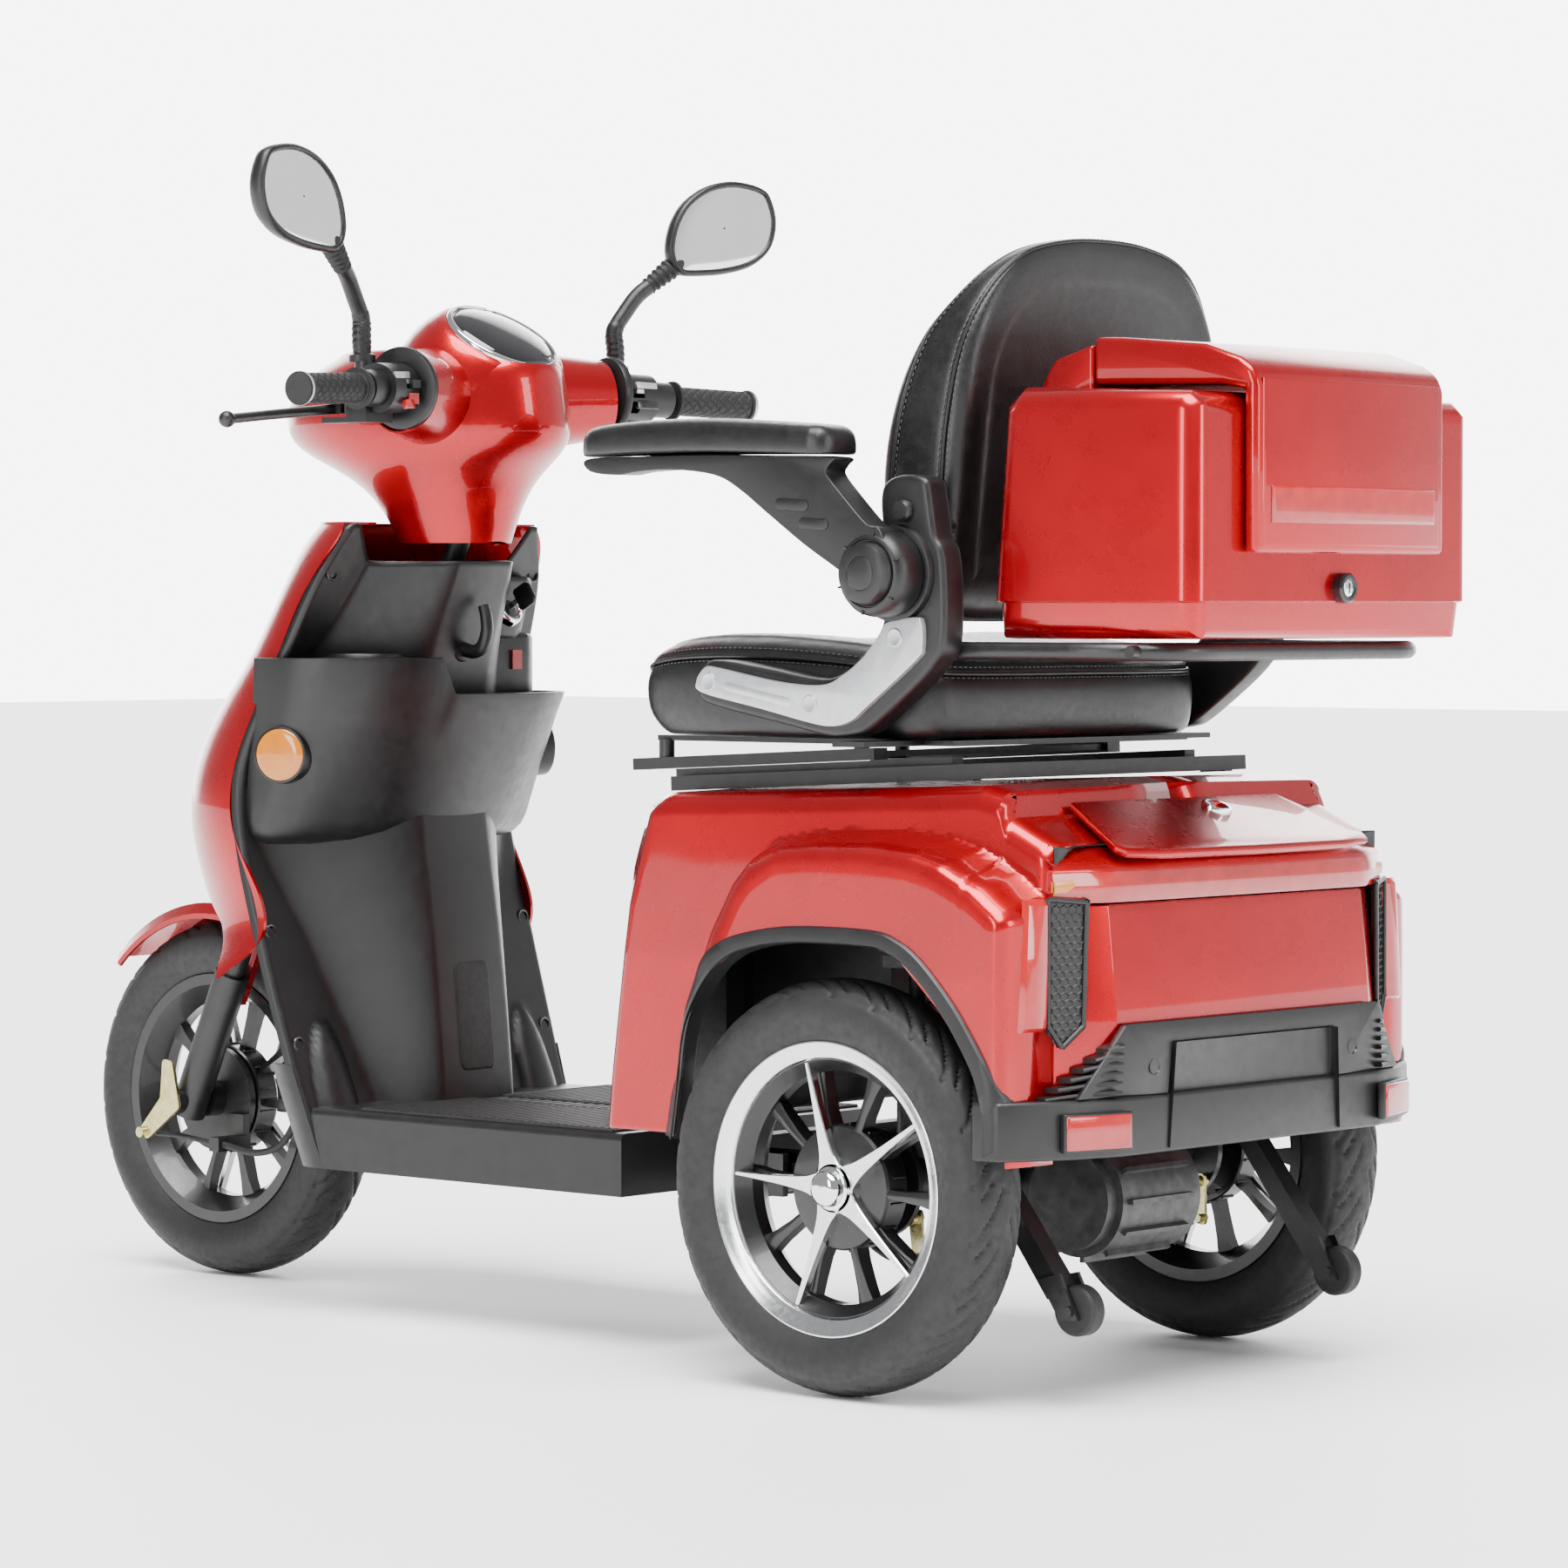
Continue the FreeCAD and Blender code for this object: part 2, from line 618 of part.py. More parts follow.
def nose_section(z, x_edge, half, x_nose, inset):
    """Closed plan section: half an ellipse in front of the flange line."""
    pts = []
    for i in range(13):
        a = math.pi * (i / 12 - 0.5)
        pts.append((x_edge + (x_nose - x_edge - inset) * math.cos(a), -(half - inset) * math.sin(a), z))
    if inset:
        pts[0] = (x_edge, half - inset, z)
        pts[-1] = (x_edge, -(half - inset), z)
        pts = [(x_edge - 30, half - inset, z)] + pts + [(x_edge - 30, -(half - inset), z)]
        ends = [Part.makeLine(V(*pts[0]), V(*pts[1])), Part.makeLine(V(*pts[-2]), V(*pts[-1])),
                Part.makeLine(V(*pts[-1]), V(*pts[0]))]
        curve = Part.BSplineCurve()
        curve.interpolate([V(*p) for p in pts[1:-1]])
        return Part.Wire([ends[0], curve.toShape(), ends[1], ends[2]])
    return spline_wire(pts, True)


def nose_form(rows, inset):
    return loft([nose_section(r[0], r[1], r[2], r[3], inset) for r in rows])


def front_apron():
    """Red outer apron: a nose over the fork, open behind and cut away for the wheel."""
    outer = nose_form(SHIELD[1:], 0)
    inner = nose_form(SHIELD[1:], SKIN)
    top = SHIELD[-1]
    shell = outer.cut(inner)
    wheel_way = side_plate([(1200, 200), (1200, 505), (1090, 482), (1000, 420), (955, 330), (925, 200)],
                           -300, 300)
    shell = shell.cut(wheel_way)
    lid = Part.Face(nose_section(top[0], top[1], top[2], top[3], 0)).extrude(V(0, 0, 3))
    lid = lid.cut(cyl(stem_at(700), stem_at(960), NECK_R))
    return max(fuse([shell, lid]).Solids, key=lambda s: s.Volume)


def crest_section(row, inset, front):
    """Closed plan section behind the flange: flat wings and a rounded crest in the middle."""
    z, x_edge, half, _, x_crest, wide = row
    pts = []
    n = 20
    for i in range(n + 1):
        y = (half - inset) * (1 - 2 * i / n)
        s = min(1.0, abs(y) / (wide - inset * 0.5))
        bump = (1 - s * s) ** 1.5
        wing = 10 + 8 * (1 - abs(y) / half)
        pts.append((x_edge - wing - (x_edge - 18 - x_crest) * bump + inset, y, z))
    curve = Part.BSplineCurve()
    curve.interpolate([V(*p) for p in pts])
    a, b = V(x_edge + front, half - inset, z), V(x_edge + front, -(half - inset), z)
    return Part.Wire([curve.toShape(), Part.makeLine(V(*pts[-1]), b), Part.makeLine(b, a),
                      Part.makeLine(a, V(*pts[0]))])


POD_TOP = [(935, 206), (846, 186), (804, 156), (774, 70), (774, -70), (804, -156), (846, -186), (935, -206)]
POD_LOW = [(955, 205), (896, 188), (868, 140), (842, 60), (842, -60), (868, -140), (896, -188), (955, -205)]
POD_Z = (512, 676)
POCKET_Z = 552
CUP_AT = V(842, 122, 716)
CUP_R = 36.0
HOOK_AT = V(806, 0, 742)


def pod(inset, z0, z1):
    """The storage pod's slanted form between two heights, moved in by inset."""
    wires = []
    for z in (z0, z1):
        t = (z - POD_Z[0]) / (POD_Z[1] - POD_Z[0])
        row = []
        for (xl, yl), (xt, yt) in zip(POD_LOW, POD_TOP):
            side = 1 if yl > 0 else -1
            row.append((xl + (xt - xl) * t + inset * 1.2, yl + (yt - yl) * t - inset * side, z))
        wires.append(poly(row))
    return loft(wires, True)


def backbone_way():
    """Room for the frame's down tube where it passes the shield and the deck."""
    return pipe(DOWN_TUBE, DOWN_TUBE_R + GAP)


def leg_shield():
    """Black inner shield: wings, middle crest, storage pocket, cup holder and bag hook."""
    body = loft([crest_section(r, 0, -SHIELD_GAP) for r in SHIELD])
    hollow = loft([crest_section(r, SKIN, 40) for r in SHIELD])
    outside = pod(0, *POD_Z)
    outside = outside.cut(nose_form(SHIELD[1:], 0))
    cup_block = plan_plate([(930, 188), (874, 198), (812, 158), (784, 88), (784, 60), (905, 60)], 640,
                           CUP_AT.z)
    cup_block = round_edges(cup_block, 6, lambda e: along(e, V(0, 0, 1))).cut(nose_form(SHIELD[1:], 0))
    solid = body.multiFuse([outside, cup_block])
    pocket = pod(4, POCKET_Z, 740).common(box(700, 900, -230, 56, 500, 760)).cut(body)
    cup = cyl(V(CUP_AT.x, CUP_AT.y, CUP_AT.z - 66), V(CUP_AT.x, CUP_AT.y, CUP_AT.z + 10), CUP_R)
    low_trim = nose_form(SHIELD[:2], 0).cut(nose_form(SHIELD[:2], SKIN))
    wheel_way = side_plate([(1200, 100), (1200, 300), (935, 300), (925, 240), (872, 100)], -300, 300)
    low_trim = low_trim.cut(wheel_way)
    whole = solid.cut(hollow)
    cup_floor = cup_block.fuse(outside.common(box(700, 960, 58, 300, 500, 700)))
    whole = whole.fuse(cup_floor.cut(hollow)).cut(pocket).cut(cup)
    stem_way = cyl(stem_at(560), stem_at(960), 31)
    neck_way = cyl(stem_at(700), stem_at(960), NECK_R).common(box(600, 1100, -200, 200, NECK_Z, 1000))
    whole = whole.cut(stem_way).cut(neck_way)
    hook = pipe([(HOOK_AT.x + 16, 0, HOOK_AT.z - 8), (HOOK_AT.x - 22, 0, HOOK_AT.z - 14),
                 (HOOK_AT.x - 42, 0, HOOK_AT.z + 4),
                 (HOOK_AT.x - 36, 0, HOOK_AT.z + 40)], 6.5)
    panel = plan_plate([(905, -76), (866, -80), (860, -92), (862, -158), (905, -172)], 672, 794)
    panel = panel.cut(hollow).cut(nose_form(SHIELD[1:], 0))
    whole = fuse([max(whole.Solids, key=lambda s: s.Volume)] + low_trim.Solids + [hook, panel])
    whole = whole.cut(key_barrel_way()).cut(rocker_way()).cut(backbone_way())
    return max(whole.cut(front_apron()).Solids, key=lambda s: s.Volume)


KEY_AT = V(850, -98, 765)
KEY_WAY = V(-0.86, -0.1, 0.5)
ROCKER_AT = V(858, -128, 712)


def key_barrel_way():
    way = V(KEY_WAY).normalize()
    return Part.makeCylinder(13.5, 90, KEY_AT - way * 50, way)


def ignition_key():
    """Lock barrel with a chrome ring and the key in it."""
    way = V(KEY_WAY).normalize()
    barrel = Part.makeCylinder(13, 44, KEY_AT - way * 34, way)
    face = Part.makeCylinder(19, 5, KEY_AT + way * 10, way)
    key = box(-1.5, 1.5, -10, 10, 0, 34)
    key.Placement = FreeCAD.Placement(KEY_AT + way * 14, FreeCAD.Rotation(V(0, 0, 1), way))
    return fuse([barrel, face, key])


def rocker_way():
    return box(ROCKER_AT.x - 40, ROCKER_AT.x + 70, ROCKER_AT.y - 9, ROCKER_AT.y + 9, ROCKER_AT.z - 14,
               ROCKER_AT.z + 14)


def dash_rocker():
    return box(ROCKER_AT.x - 4, ROCKER_AT.x + 12, ROCKER_AT.y - 7.5, ROCKER_AT.y + 7.5, ROCKER_AT.z - 11,
               ROCKER_AT.z + 11)


DECK_Z = 226.0
DECK_LOW = 160.0
DECK_HALF = 203.0


def footboard():
    """Black foot deck with deep sides, open underneath."""
    outline = [(848, -DECK_HALF), (848, DECK_HALF), (385, DECK_HALF), (385, -DECK_HALF)]
    outer = plan_plate(outline, DECK_LOW, DECK_Z)
    outer = round_edges(outer, 8, lambda e: e.BoundBox.ZMin > DECK_Z - 1 and along(e, V(1, 0, 0)))
    inner = plan_plate([(900, -DECK_HALF + 4), (900, DECK_HALF - 4), (389, DECK_HALF - 4),
                        (389, -DECK_HALF + 4)],
                       DECK_LOW - 5, DECK_Z - 4)
    shell = outer.cut(inner)
    shield_way = loft([crest_section(r, -GAP, 60) for r in SHIELD[:3]])
    beam_way = box(380, 392, -22 - GAP, 22 + GAP, 150, 205 + GAP)
    whole = shell.cut(shield_way).cut(backbone_way()).cut(beam_way)
    return max(whole.Solids, key=lambda s: s.Volume)


# ---- rear body --------------------------------------------------------------------------------------
BODY_HALF = 268.0
FENDER_HALF = 334.0
BODY_SIDE = [(352, 232), (345, 300), (322, 470), (296, 562), (276, 584), (-140, 600), (-168, 594),
             (-176, 570), (-252, 534), (-256, 480), (-266, 374), (-262, 300), (-236, 252), (-200, 232)]
FENDER_SIDE = [(240, 232), (228, 300), (172, 470), (118, 540), (20, 552), (-110, 546), (-222, 494),
               (-229, 470),
               (-232, 310), (-226, 300)]
ARCH = [(236, 200), (222, 300), (150, 408), (104, 436), (35, 446), (-62, 446), (-98, 436), (-150, 388),
        (-208, 318),
        (-226, 280), (-226, 200)]


def grown(points, d):
    """An outline moved outwards by about d, point by point."""
    n = len(points)
    area = sum(points[i][0] * points[(i + 1) % n][1] - points[(i + 1) % n][0] * points[i][1] for i in range(n))
    sign = 1 if area > 0 else -1
    out = []
    for i in range(n):
        (x0, z0), (x1, z1), (x2, z2) = points[i - 1], points[i], points[(i + 1) % n]
        a = V(x1 - x0, 0, z1 - z0).normalize()
        b = V(x2 - x1, 0, z2 - z1).normalize()
        na, nb = V(a.z, 0, -a.x) * sign, V(b.z, 0, -b.x) * sign
        m = (na + nb)
        m = m * (2 / max(m.Length, 0.4) ** 2)
        out.append((x1 + m.x * d, z1 + m.z * d))
    return out


def body_core(inset):
    """The body's middle, its tail corners cut off towards the wheel bulges."""
    form = side_plate(grown(BODY_SIDE, -inset), -BODY_HALF + inset, BODY_HALF - inset)
    plan = [(400, BODY_HALF + 9), (-234, BODY_HALF + 9), (-267, 207), (-267, -207), (-234, -BODY_HALF - 9),
            (400, -BODY_HALF - 9)]
    form = form.common(plan_plate(grown(plan, -inset), 200, 700))
    return round_edges(form, 22 - inset, lambda e: e.BoundBox.YLength < 1 and e.BoundBox.ZMin > 560)


def wheel_bulge(side, inset):
    """The bulge over one rear wheel, running into the core."""
    y0, y1 = sorted((side * (BODY_HALF - 12 - 2 * inset), side * (FENDER_HALF - inset)))
    form = side_plate(grown(FENDER_SIDE, -inset), y0, y1)
    return round_edges(form, 16 - inset, lambda e: abs(abs(e.CenterOfMass.y) - FENDER_HALF + inset) < 1)


def rear_body():
    """Red body shell over the batteries and wheels, open underneath and at the hatch."""
    shell = body_core(0).multiFuse([wheel_bulge(1, 0), wheel_bulge(-1, 0)])
    for hollow in (body_core(SKIN), wheel_bulge(1, SKIN), wheel_bulge(-1, SKIN)):
        shell = shell.cut(hollow)
    arch = side_plate(ARCH, 215, 400)
    shell = shell.cut(arch).cut(mirror(arch))
    shell = shell.cut(box(-300, 400, -400, 400, 100, 240))
    shell = shell.cut(hatch_form(GAP))
    shell = shell.cut(box(-300, -246, -205, 205, 487, 523))
    return max(shell.Solids, key=lambda s: s.Volume)


def hatch_form(d):
    """The tail hatch's outline, grown by d."""
    return plan_plate([(-176 + d, 165 + d), (-176 + d, -165 - d), (-262 - d, -205 - d),
                       (-262 - d, 205 + d)], 526 - d, 620)


def tail_hatch():
    """Sloping panel behind the seat with its lock."""
    slab = side_plate([(-178, 573), (-178, 582), (-282, 537), (-284, 528), (-268, 527)], -205, 205)
    slab = slab.common(plan_plate([(-178, 165), (-178, -165), (-262, -205), (-290, -150), (-290, 150),
                                   (-262, 205)], 500, 640))
    slab = round_edges(slab, 2, lambda e: e.Length > 100)
    lock = cyl(V(-200, -36, 566), V(-205, -36, 580), 11)
    return fuse([slab, lock])


def arch_trims():
    """Black lips round both rear wheel arches, ending on the bumper's shelf."""
    outline = [(246, 230)] + grown(ARCH[1:-1], 14) + [(-240, 262), (-240, 244)]
    opening = [(236, 226)] + ARCH[1:-2] + [(-222, 262), (-222, 150), (236, 150)]
    lip = side_plate(outline, FENDER_HALF + 0.3, 341).cut(side_plate(opening, 300, 400))
    lip = lip.cut(box(-300, -190, 300, 400, 200, BUMPER_SHELF + 0.2))
    return group(both(max(lip.Solids, key=lambda s: s.Volume)))


BUMPER_PLAN = [(-198, 341), (-226, 336), (-262, 268), (-279, 214), (-279, -214), (-262, -268), (-226, -336),
               (-198, -341)]
BUMPER_LOW = 246.0
BUMPER_SHELF = 303.0
BUMPER_TOP = 373.0
HOLE_Y = 163.0
HOLE_Z = 330.0
HOLE_R = 7.5
PLATE_X = -268.0


def rear_bumper():
    """Wrap-round bumper with a number-plate recess and two round holes."""
    inner = [(-198, 337), (-222, 332), (-258, 264), (-273, 212), (-273, -212), (-258, -264), (-222, -332),
             (-198, -337)]
    band = plan_plate(BUMPER_PLAN + inner[::-1], BUMPER_LOW, BUMPER_SHELF)
    middle = Part.Face(poly([(-279, 262, BUMPER_SHELF - 1), (-279, 204, BUMPER_TOP),
                             (-279, -204, BUMPER_TOP),
                             (-279, -262, BUMPER_SHELF - 1)])).extrude(V(6, 0, 0))
    middle = middle.common(plan_plate([(-279, 214), (-262, 268), (-200, 268), (-200, -268), (-262, -268),
                                       (-279, -214)], 200, 400))
    fins = []
    for s in (1, -1):
        cheek = Part.Face(poly([(-278, s * 213, BUMPER_SHELF - 1), (-278, s * 206, BUMPER_TOP - 4),
                                (-232, s * 290, BUMPER_SHELF - 1)]))
        fins.append(cheek.extrude(V(5, s * 2, 0)))
    whole = fuse([band, middle] + fins)
    whole = whole.cut(box(-290, PLATE_X - 4, -128, 128, 240, 352))
    plate = box(PLATE_X - 4.5, PLATE_X, -132, 132, BUMPER_LOW, 356)
    walls = [box(-279, PLATE_X, *sorted((s * 128, s * 132)), BUMPER_LOW, 356) for s in (1, -1)]
    top = box(-279, PLATE_X, -132, 132, 352, 356)
    whole = fuse([whole, plate, top] + walls)
    for s in (1, -1):
        whole = whole.cut(cyl(V(-300, s * HOLE_Y, HOLE_Z), V(-250, s * HOLE_Y, HOLE_Z), HOLE_R))
    return max(whole.cut(rear_body()).Solids, key=lambda s: s.Volume)


def tail_lights():
    """Full-width light bar above the rear panel and the two upright lamps."""
    bar = box(-262, -246.5, -204, 204, 488, 522)
    bar = round_edges(bar, 3, lambda e: e.Length > 30)
    lamp = box(-243, -232.5, 278, 306, 370, 492)
    lamp = round_edges(lamp, 3, lambda e: e.Length > 20)
    return group([bar] + both(lamp))


def tail_grilles():
    """Honeycomb panels between the rear panel and the upright lamps."""
    outline = [(241, 486), (272, 490), (272, 366), (262, 352), (244, 368)]
    plate = Part.Face(poly([(0, y, z) for y, z in outline])).extrude(V(3, 0, 0))
    shear = FreeCAD.Matrix()
    shear.A12 = 33 / 70
    plate = plate.transformGeometry(shear)
    plate.translate(V(-254.2 - 240 * 33 / 70, 0, 0))
    return group(both(plate)).cut(rear_body())


def reflectors():
    """Two red ones on the bumper and two amber ones on the leg shield's cheeks."""
    red = box(-38, 38, -3, 3, -17, 17)
    red.rotate(V(0, 0, 0), V(0, 0, 1), 90 - 17)
    red.translate(V(-276.5, 244, 270))
    amber = Part.makeCylinder(29, 5, V(898, 194.6, 610), V(-0.237, 0.970, -0.05)).cut(pod(0, *POD_Z))
    return group(both(red) + both(amber))


ARM_X = -226.5
ARM_Z = 95.0
ROLLER_Y = 212.0
ROLLER_R = 25.0


def anti_tip_arms():
    """Square arms with a fork at the end for each roller."""
    bar_profile = side_plate([(-120, 238), (-96, 238), (-196, 104), (-218, 112)], ROLLER_Y - 12,
                             ROLLER_Y + 12)
    cheeks = [side_plate([(-188, 124), (-214, 130), (ARM_X - 10, ARM_Z - 8), (ARM_X + 12, ARM_Z - 10)], y,
                         y + 4)
              for y in (ROLLER_Y - 16, ROLLER_Y + 12)]
    pin = across(ARM_X, ARM_Z, ROLLER_Y - 20, ROLLER_Y + 20, 5)
    whole = fuse([bar_profile] + cheeks + [pin])
    space = across(ARM_X, ARM_Z, ROLLER_Y - 11.5, ROLLER_Y + 11.5, ROLLER_R + 2)
    return group(both(whole.cut(space.cut(pin))))


def roller(side):
    y = side * ROLLER_Y
    wheel = across(ARM_X, ARM_Z, y - 10, y + 10, ROLLER_R)
    wheel = round_edges(wheel, 4, lambda e: e.Length > 100)
    return wheel.cut(across(ARM_X, ARM_Z, y - 12, y + 12, 5 + RUN))


def power_pack():
    """Two batteries side by side and the controller in front of the axle."""
    batteries = [box(40, 225, *sorted((s * 12, s * 178)), 300, 470) for s in (1, -1)]
    controller = box(-130, -20, -60, 60, 430, 480)
    return group(batteries + [controller])


# ---- main frame -------------------------------------------------------------------------------------
def main_frame():
    """Welded backbone: head tube, down tube, floor beam, rear deck, damper towers and anti-tip feet."""
    head = ring(stem_at(640), stem_at(800), 24, 18)
    races = [ring(stem_at(z), stem_at(z + 14), 19, 13 + RUN) for z in (640, 786)]
    down = pipe(DOWN_TUBE, DOWN_TUBE_R)
    down = down.cut(cyl(stem_at(600), stem_at(840), 20))
    beam = box(285, 701, -22, 22, 167, 205)
    outriggers = [box(x, x + 24, -196, 196, 176, 200) for x in (450, 620)]
    cross = box(276, 300, -150, 150, 160, 224)
    parts = [head, down, beam, cross] + races + outriggers
    for s in (1, -1):
        for y in (99, 138):
            parts.append(box(212, 278, *sorted((s * y, s * (y + 8))), 168, 212))
        parts.append(across(SWING_PIVOT.x, SWING_PIVOT.z, *sorted((s * 98, s * 147)), 8))
        parts.append(box(262, 286, *sorted((s * 126, s * 150)), 222, 556))
        parts.append(side_plate([(286, 540), (286, 560), (262, 570), (-150, 590), (-150, 572)],
                                *sorted((s * 126, s * 150))))
        parts.append(box(-30, 20, *sorted((s * 150, s * 215)), 415, 427))
        parts.append(box(-30, 20, *sorted((s * 148, s * 156)), 415, 574))
        parts.append(box(-150, -126, *sorted((s * 140, s * 162)), 238, 580))
        parts.append(box(-150, -96, *sorted((s * 160, s * 232)), 238, 260))
    return fuse(parts)


# ---- seat -----------------------------------------------------------------------------------------
def seat_base_frame():
    """Square bars bolted on the body under the seat, with the two fixed tracks on them."""
    parts = [box(x, x + 16, -212, 212, 594, 609) for x in (-109, 291)]
    for s in (1, -1):
        parts.append(box(-109, 307, *sorted((s * 197, s * 212)), 594, 609))
        parts.append(box(-55, 313, *sorted((s * 180, s * 197)), 602, 616.6))
        parts.append(box(-92, -60, *sorted((s * 198, s * 211)), 592.5, 596))
    return tilt_seat(fuse(parts))


def seat_rails():
    """Sliding runners with the cross bars, the posts and the pan that carry the cushion."""
    runners = [box(44, 371, *sorted((s * 178, s * 199)), 617, 629) for s in (1, -1)]
    bars = [box(x, x + 24, -180, 180, 620, 626) for x in (50, 320)]
    posts = [cyl(V(x, s * 188, z0), V(x, s * 188, 636), 8) for s in (1, -1) for x,
             z0 in ((334, 613), (70, 625))]
    pan = box(-50, 345, -190, 190, 634.5, 640)
    straps = [box(-12, 30, *sorted((s * 188, s * 280)), 634.5, 640) for s in (1, -1)]
    return fuse([tilt_seat(b) for b in runners + bars] + posts + [pan] + straps)


def seat_cushion():
    """Plain closed form of the seat cushion."""
    plan = [(-60, 205), (60, 238), (230, 240), (345, 205), (388, 120), (388, -120), (345, -205),
            (230, -240), (60, -238), (-60, -205)]
    body = plan_plate(plan, 640.3, 742)
    body = round_edges(body, 18, lambda e: along(e, V(0, 0, 1)))
    return round_edges(body, 16, lambda e: e.BoundBox.ZMin > 741)


def backrest():
    """Plain closed form of the back cushion: straight behind, its front bending back above the loins."""
    half, low, high, r = 218, 756, 1136, 150
    steps = 6
    arc = [(half - r + r * math.cos(a), high - r + r * math.sin(a))
           for a in [math.pi / 2 * i / steps for i in range(1, steps + 1)]]
    right = [(half - 30, low), (half, low + 60), (half, high - r)] + arc
    outline = right + [(-y, z) for y, z in reversed(right)]
    slab = Part.Face(poly([(-100, y, z) for y, z in outline])).extrude(V(150, 0, 0))
    profile = [(30, low), (35, 889), (26, 958), (-2, 1034), (-45, 1095), (-78, high), (-93, high),
               (-84, 1040), (-61, low)]
    return slab.common(side_plate(profile, -half, half))


BRACKET_IN = 246.0
BRACKET_OUT = 286.0
PIVOT = V(-52, 0, 804)
PIVOT_R = 42.0


def bracket_outline():
    return [(212, 712), (206, 675), (30, 640), (-12, 640), (-112, 742), (-104, 850), (-92, 896), (-52, 896),
            (-34, 862),
            (-34, 760), (22, 700), (48, 694), (190, 718)]


def armrest_brackets():
    """L-shaped side brackets from under the cushion up the side of the back."""
    plate = smooth_side_plate(bracket_outline(), BRACKET_IN, BRACKET_OUT, 12)
    boss = across(PIVOT.x, PIVOT.z, BRACKET_IN, BRACKET_OUT, 50)
    pin = across(PIVOT.x, PIVOT.z, BRACKET_OUT, 327, 12)
    spacer = across(-70, 850, 218.4, BRACKET_IN, 14)
    return group(both(fuse([plate, boss, pin, spacer])))


def arm(side):
    """Flip-up arm: a disc on the bracket's pin and a bar that carries the pad."""
    y0, y1 = BRACKET_OUT + GAP, 326.0
    outline = [(-30, 838), (-4, 902), (-4, 917), (322, 921), (316, 904), (250, 902), (150, 899), (96, 886),
               (60, 862), (-22, 780), (-60, 790)]
    bar = smooth_side_plate(outline, y0 + 2, y1 - 2, 6)
    disc = across(PIVOT.x, PIVOT.z, y0, y1, PIVOT_R)
    cap = across(PIVOT.x, PIVOT.z, y1, y1 + 12, 30)
    whole = fuse([bar, disc, cap]).cut(across(PIVOT.x, PIVOT.z, y0 - 1, 328, 12 + RUN))
    return whole if side > 0 else mirror(whole)


def arm_pad(side):
    y0, y1 = 274, 342
    pad = plan_plate([(-6, y0 + 6), (20, y0), (290, y0), (325, y0 + 12), (325, y1 - 12), (290, y1),
                      (20, y1), (-6, y1 - 6)], 918.5, 956)
    pad = pad.cut(side_plate([(-30, 900), (-30, 917), (330, 921.5), (330, 900)], 200, 400))
    pad = round_edges(pad, 10, lambda e: e.BoundBox.ZMin > 955)
    return pad if side > 0 else mirror(pad)


RACK_Z = 729.0
RACK_HALF = 236.7
RACK_R = 9.0


def luggage_rack():
    """Tube loop behind the back with two cross bars under the box."""
    loop = pipe([(-80, RACK_HALF, RACK_Z), (-262, RACK_HALF - 1, RACK_Z), (-338, 190, RACK_Z),
                 (-338, 0, RACK_Z)], RACK_R)
    bars = [across(x, RACK_Z, -RACK_HALF + 6, RACK_HALF - 6, 6) for x in (-170, -300)]
    return fuse([loop, mirror(loop)] + bars)


BOX_FRONT = -122.0
BOX_BACK = -376.0
BOX_HALF = 229.0
BOX_LOW = 740.0
BOX_TOP = 978.0
BAND_HALF = 156.0


def box_side(inset):
    """The box's side outline, flat wall towards the backrest leaning with it."""
    d = inset
    return [(BOX_FRONT - d, BOX_LOW + d), (BOX_BACK + d, BOX_LOW + d), (BOX_BACK + d, BOX_TOP - 12 - d),
            (BOX_BACK + 12 + d, BOX_TOP - d),
            (BOX_FRONT - 40 - d, BOX_TOP + 6 - d), (BOX_FRONT - 18 - d, BOX_TOP - 12 - d)]


def box_base():
    """Luggage box: one moulding with the opening that the lid closes."""
    outer = side_plate(box_side(0), -BOX_HALF, BOX_HALF)
    outer = round_edges(outer, 22, lambda e: abs(abs(e.CenterOfMass.y) - BOX_HALF) < 1)
    inner = side_plate(box_side(4), -BOX_HALF + 4, BOX_HALF - 4)
    inner = round_edges(inner, 18, lambda e: abs(abs(e.CenterOfMass.y) - BOX_HALF + 4) < 1)
    hump = side_plate([(-128, 975), (-150, 1012), (-196, 1026), (-196, 975)], -BAND_HALF, BAND_HALF)
    hump_in = side_plate([(-134, 970), (-154, 1008), (-192, 1021), (-192, 970)], -BAND_HALF + 4,
                         BAND_HALF - 4)
    mouth = side_plate([(-188, 960), (-188, 1015), (-420, 1060), (-420, 832), (-366, 832), (-366, 960)],
                       -BAND_HALF + 12, BAND_HALF - 12)
    whole = outer.fuse(hump).cut(inner).cut(hump_in).cut(mouth)
    return max(whole.Solids, key=lambda s: s.Volume)


def box_lid():
    """Lid: top and rear band in one moulding, hinged at its front edge."""
    outer = side_plate([(-196.5, BOX_TOP + 9), (-196.5, 1034), (-330, 1024), (-386, 1002), (-394, 984),
                        (-394, 822), (BOX_BACK - 1, 822),
                        (BOX_BACK - 1, BOX_TOP + 1), (-350, BOX_TOP + 5)], -BAND_HALF, BAND_HALF)
    outer = round_edges(outer, 7,
                        lambda e: along(e,
                                        V(0, 1, 0)) and (e.BoundBox.ZMin > 990 or e.BoundBox.XMax < -390))
    inner = side_plate([(-202, 900), (-202, 1028), (-329, 1018.5), (-382, 998), (-388.5, 982),
                        (-388.5, 830), (BOX_BACK + 10, 830), (-340, 900)],
                       -BAND_HALF + 5, BAND_HALF - 5)
    return max(outer.cut(inner).Solids, key=lambda s: s.Volume)


def box_lock():
    """Lock cylinder under the lid's lower edge."""
    return cyl(V(BOX_BACK - 0.3, -6, 790), V(BOX_BACK - 11, -6, 790), 15)


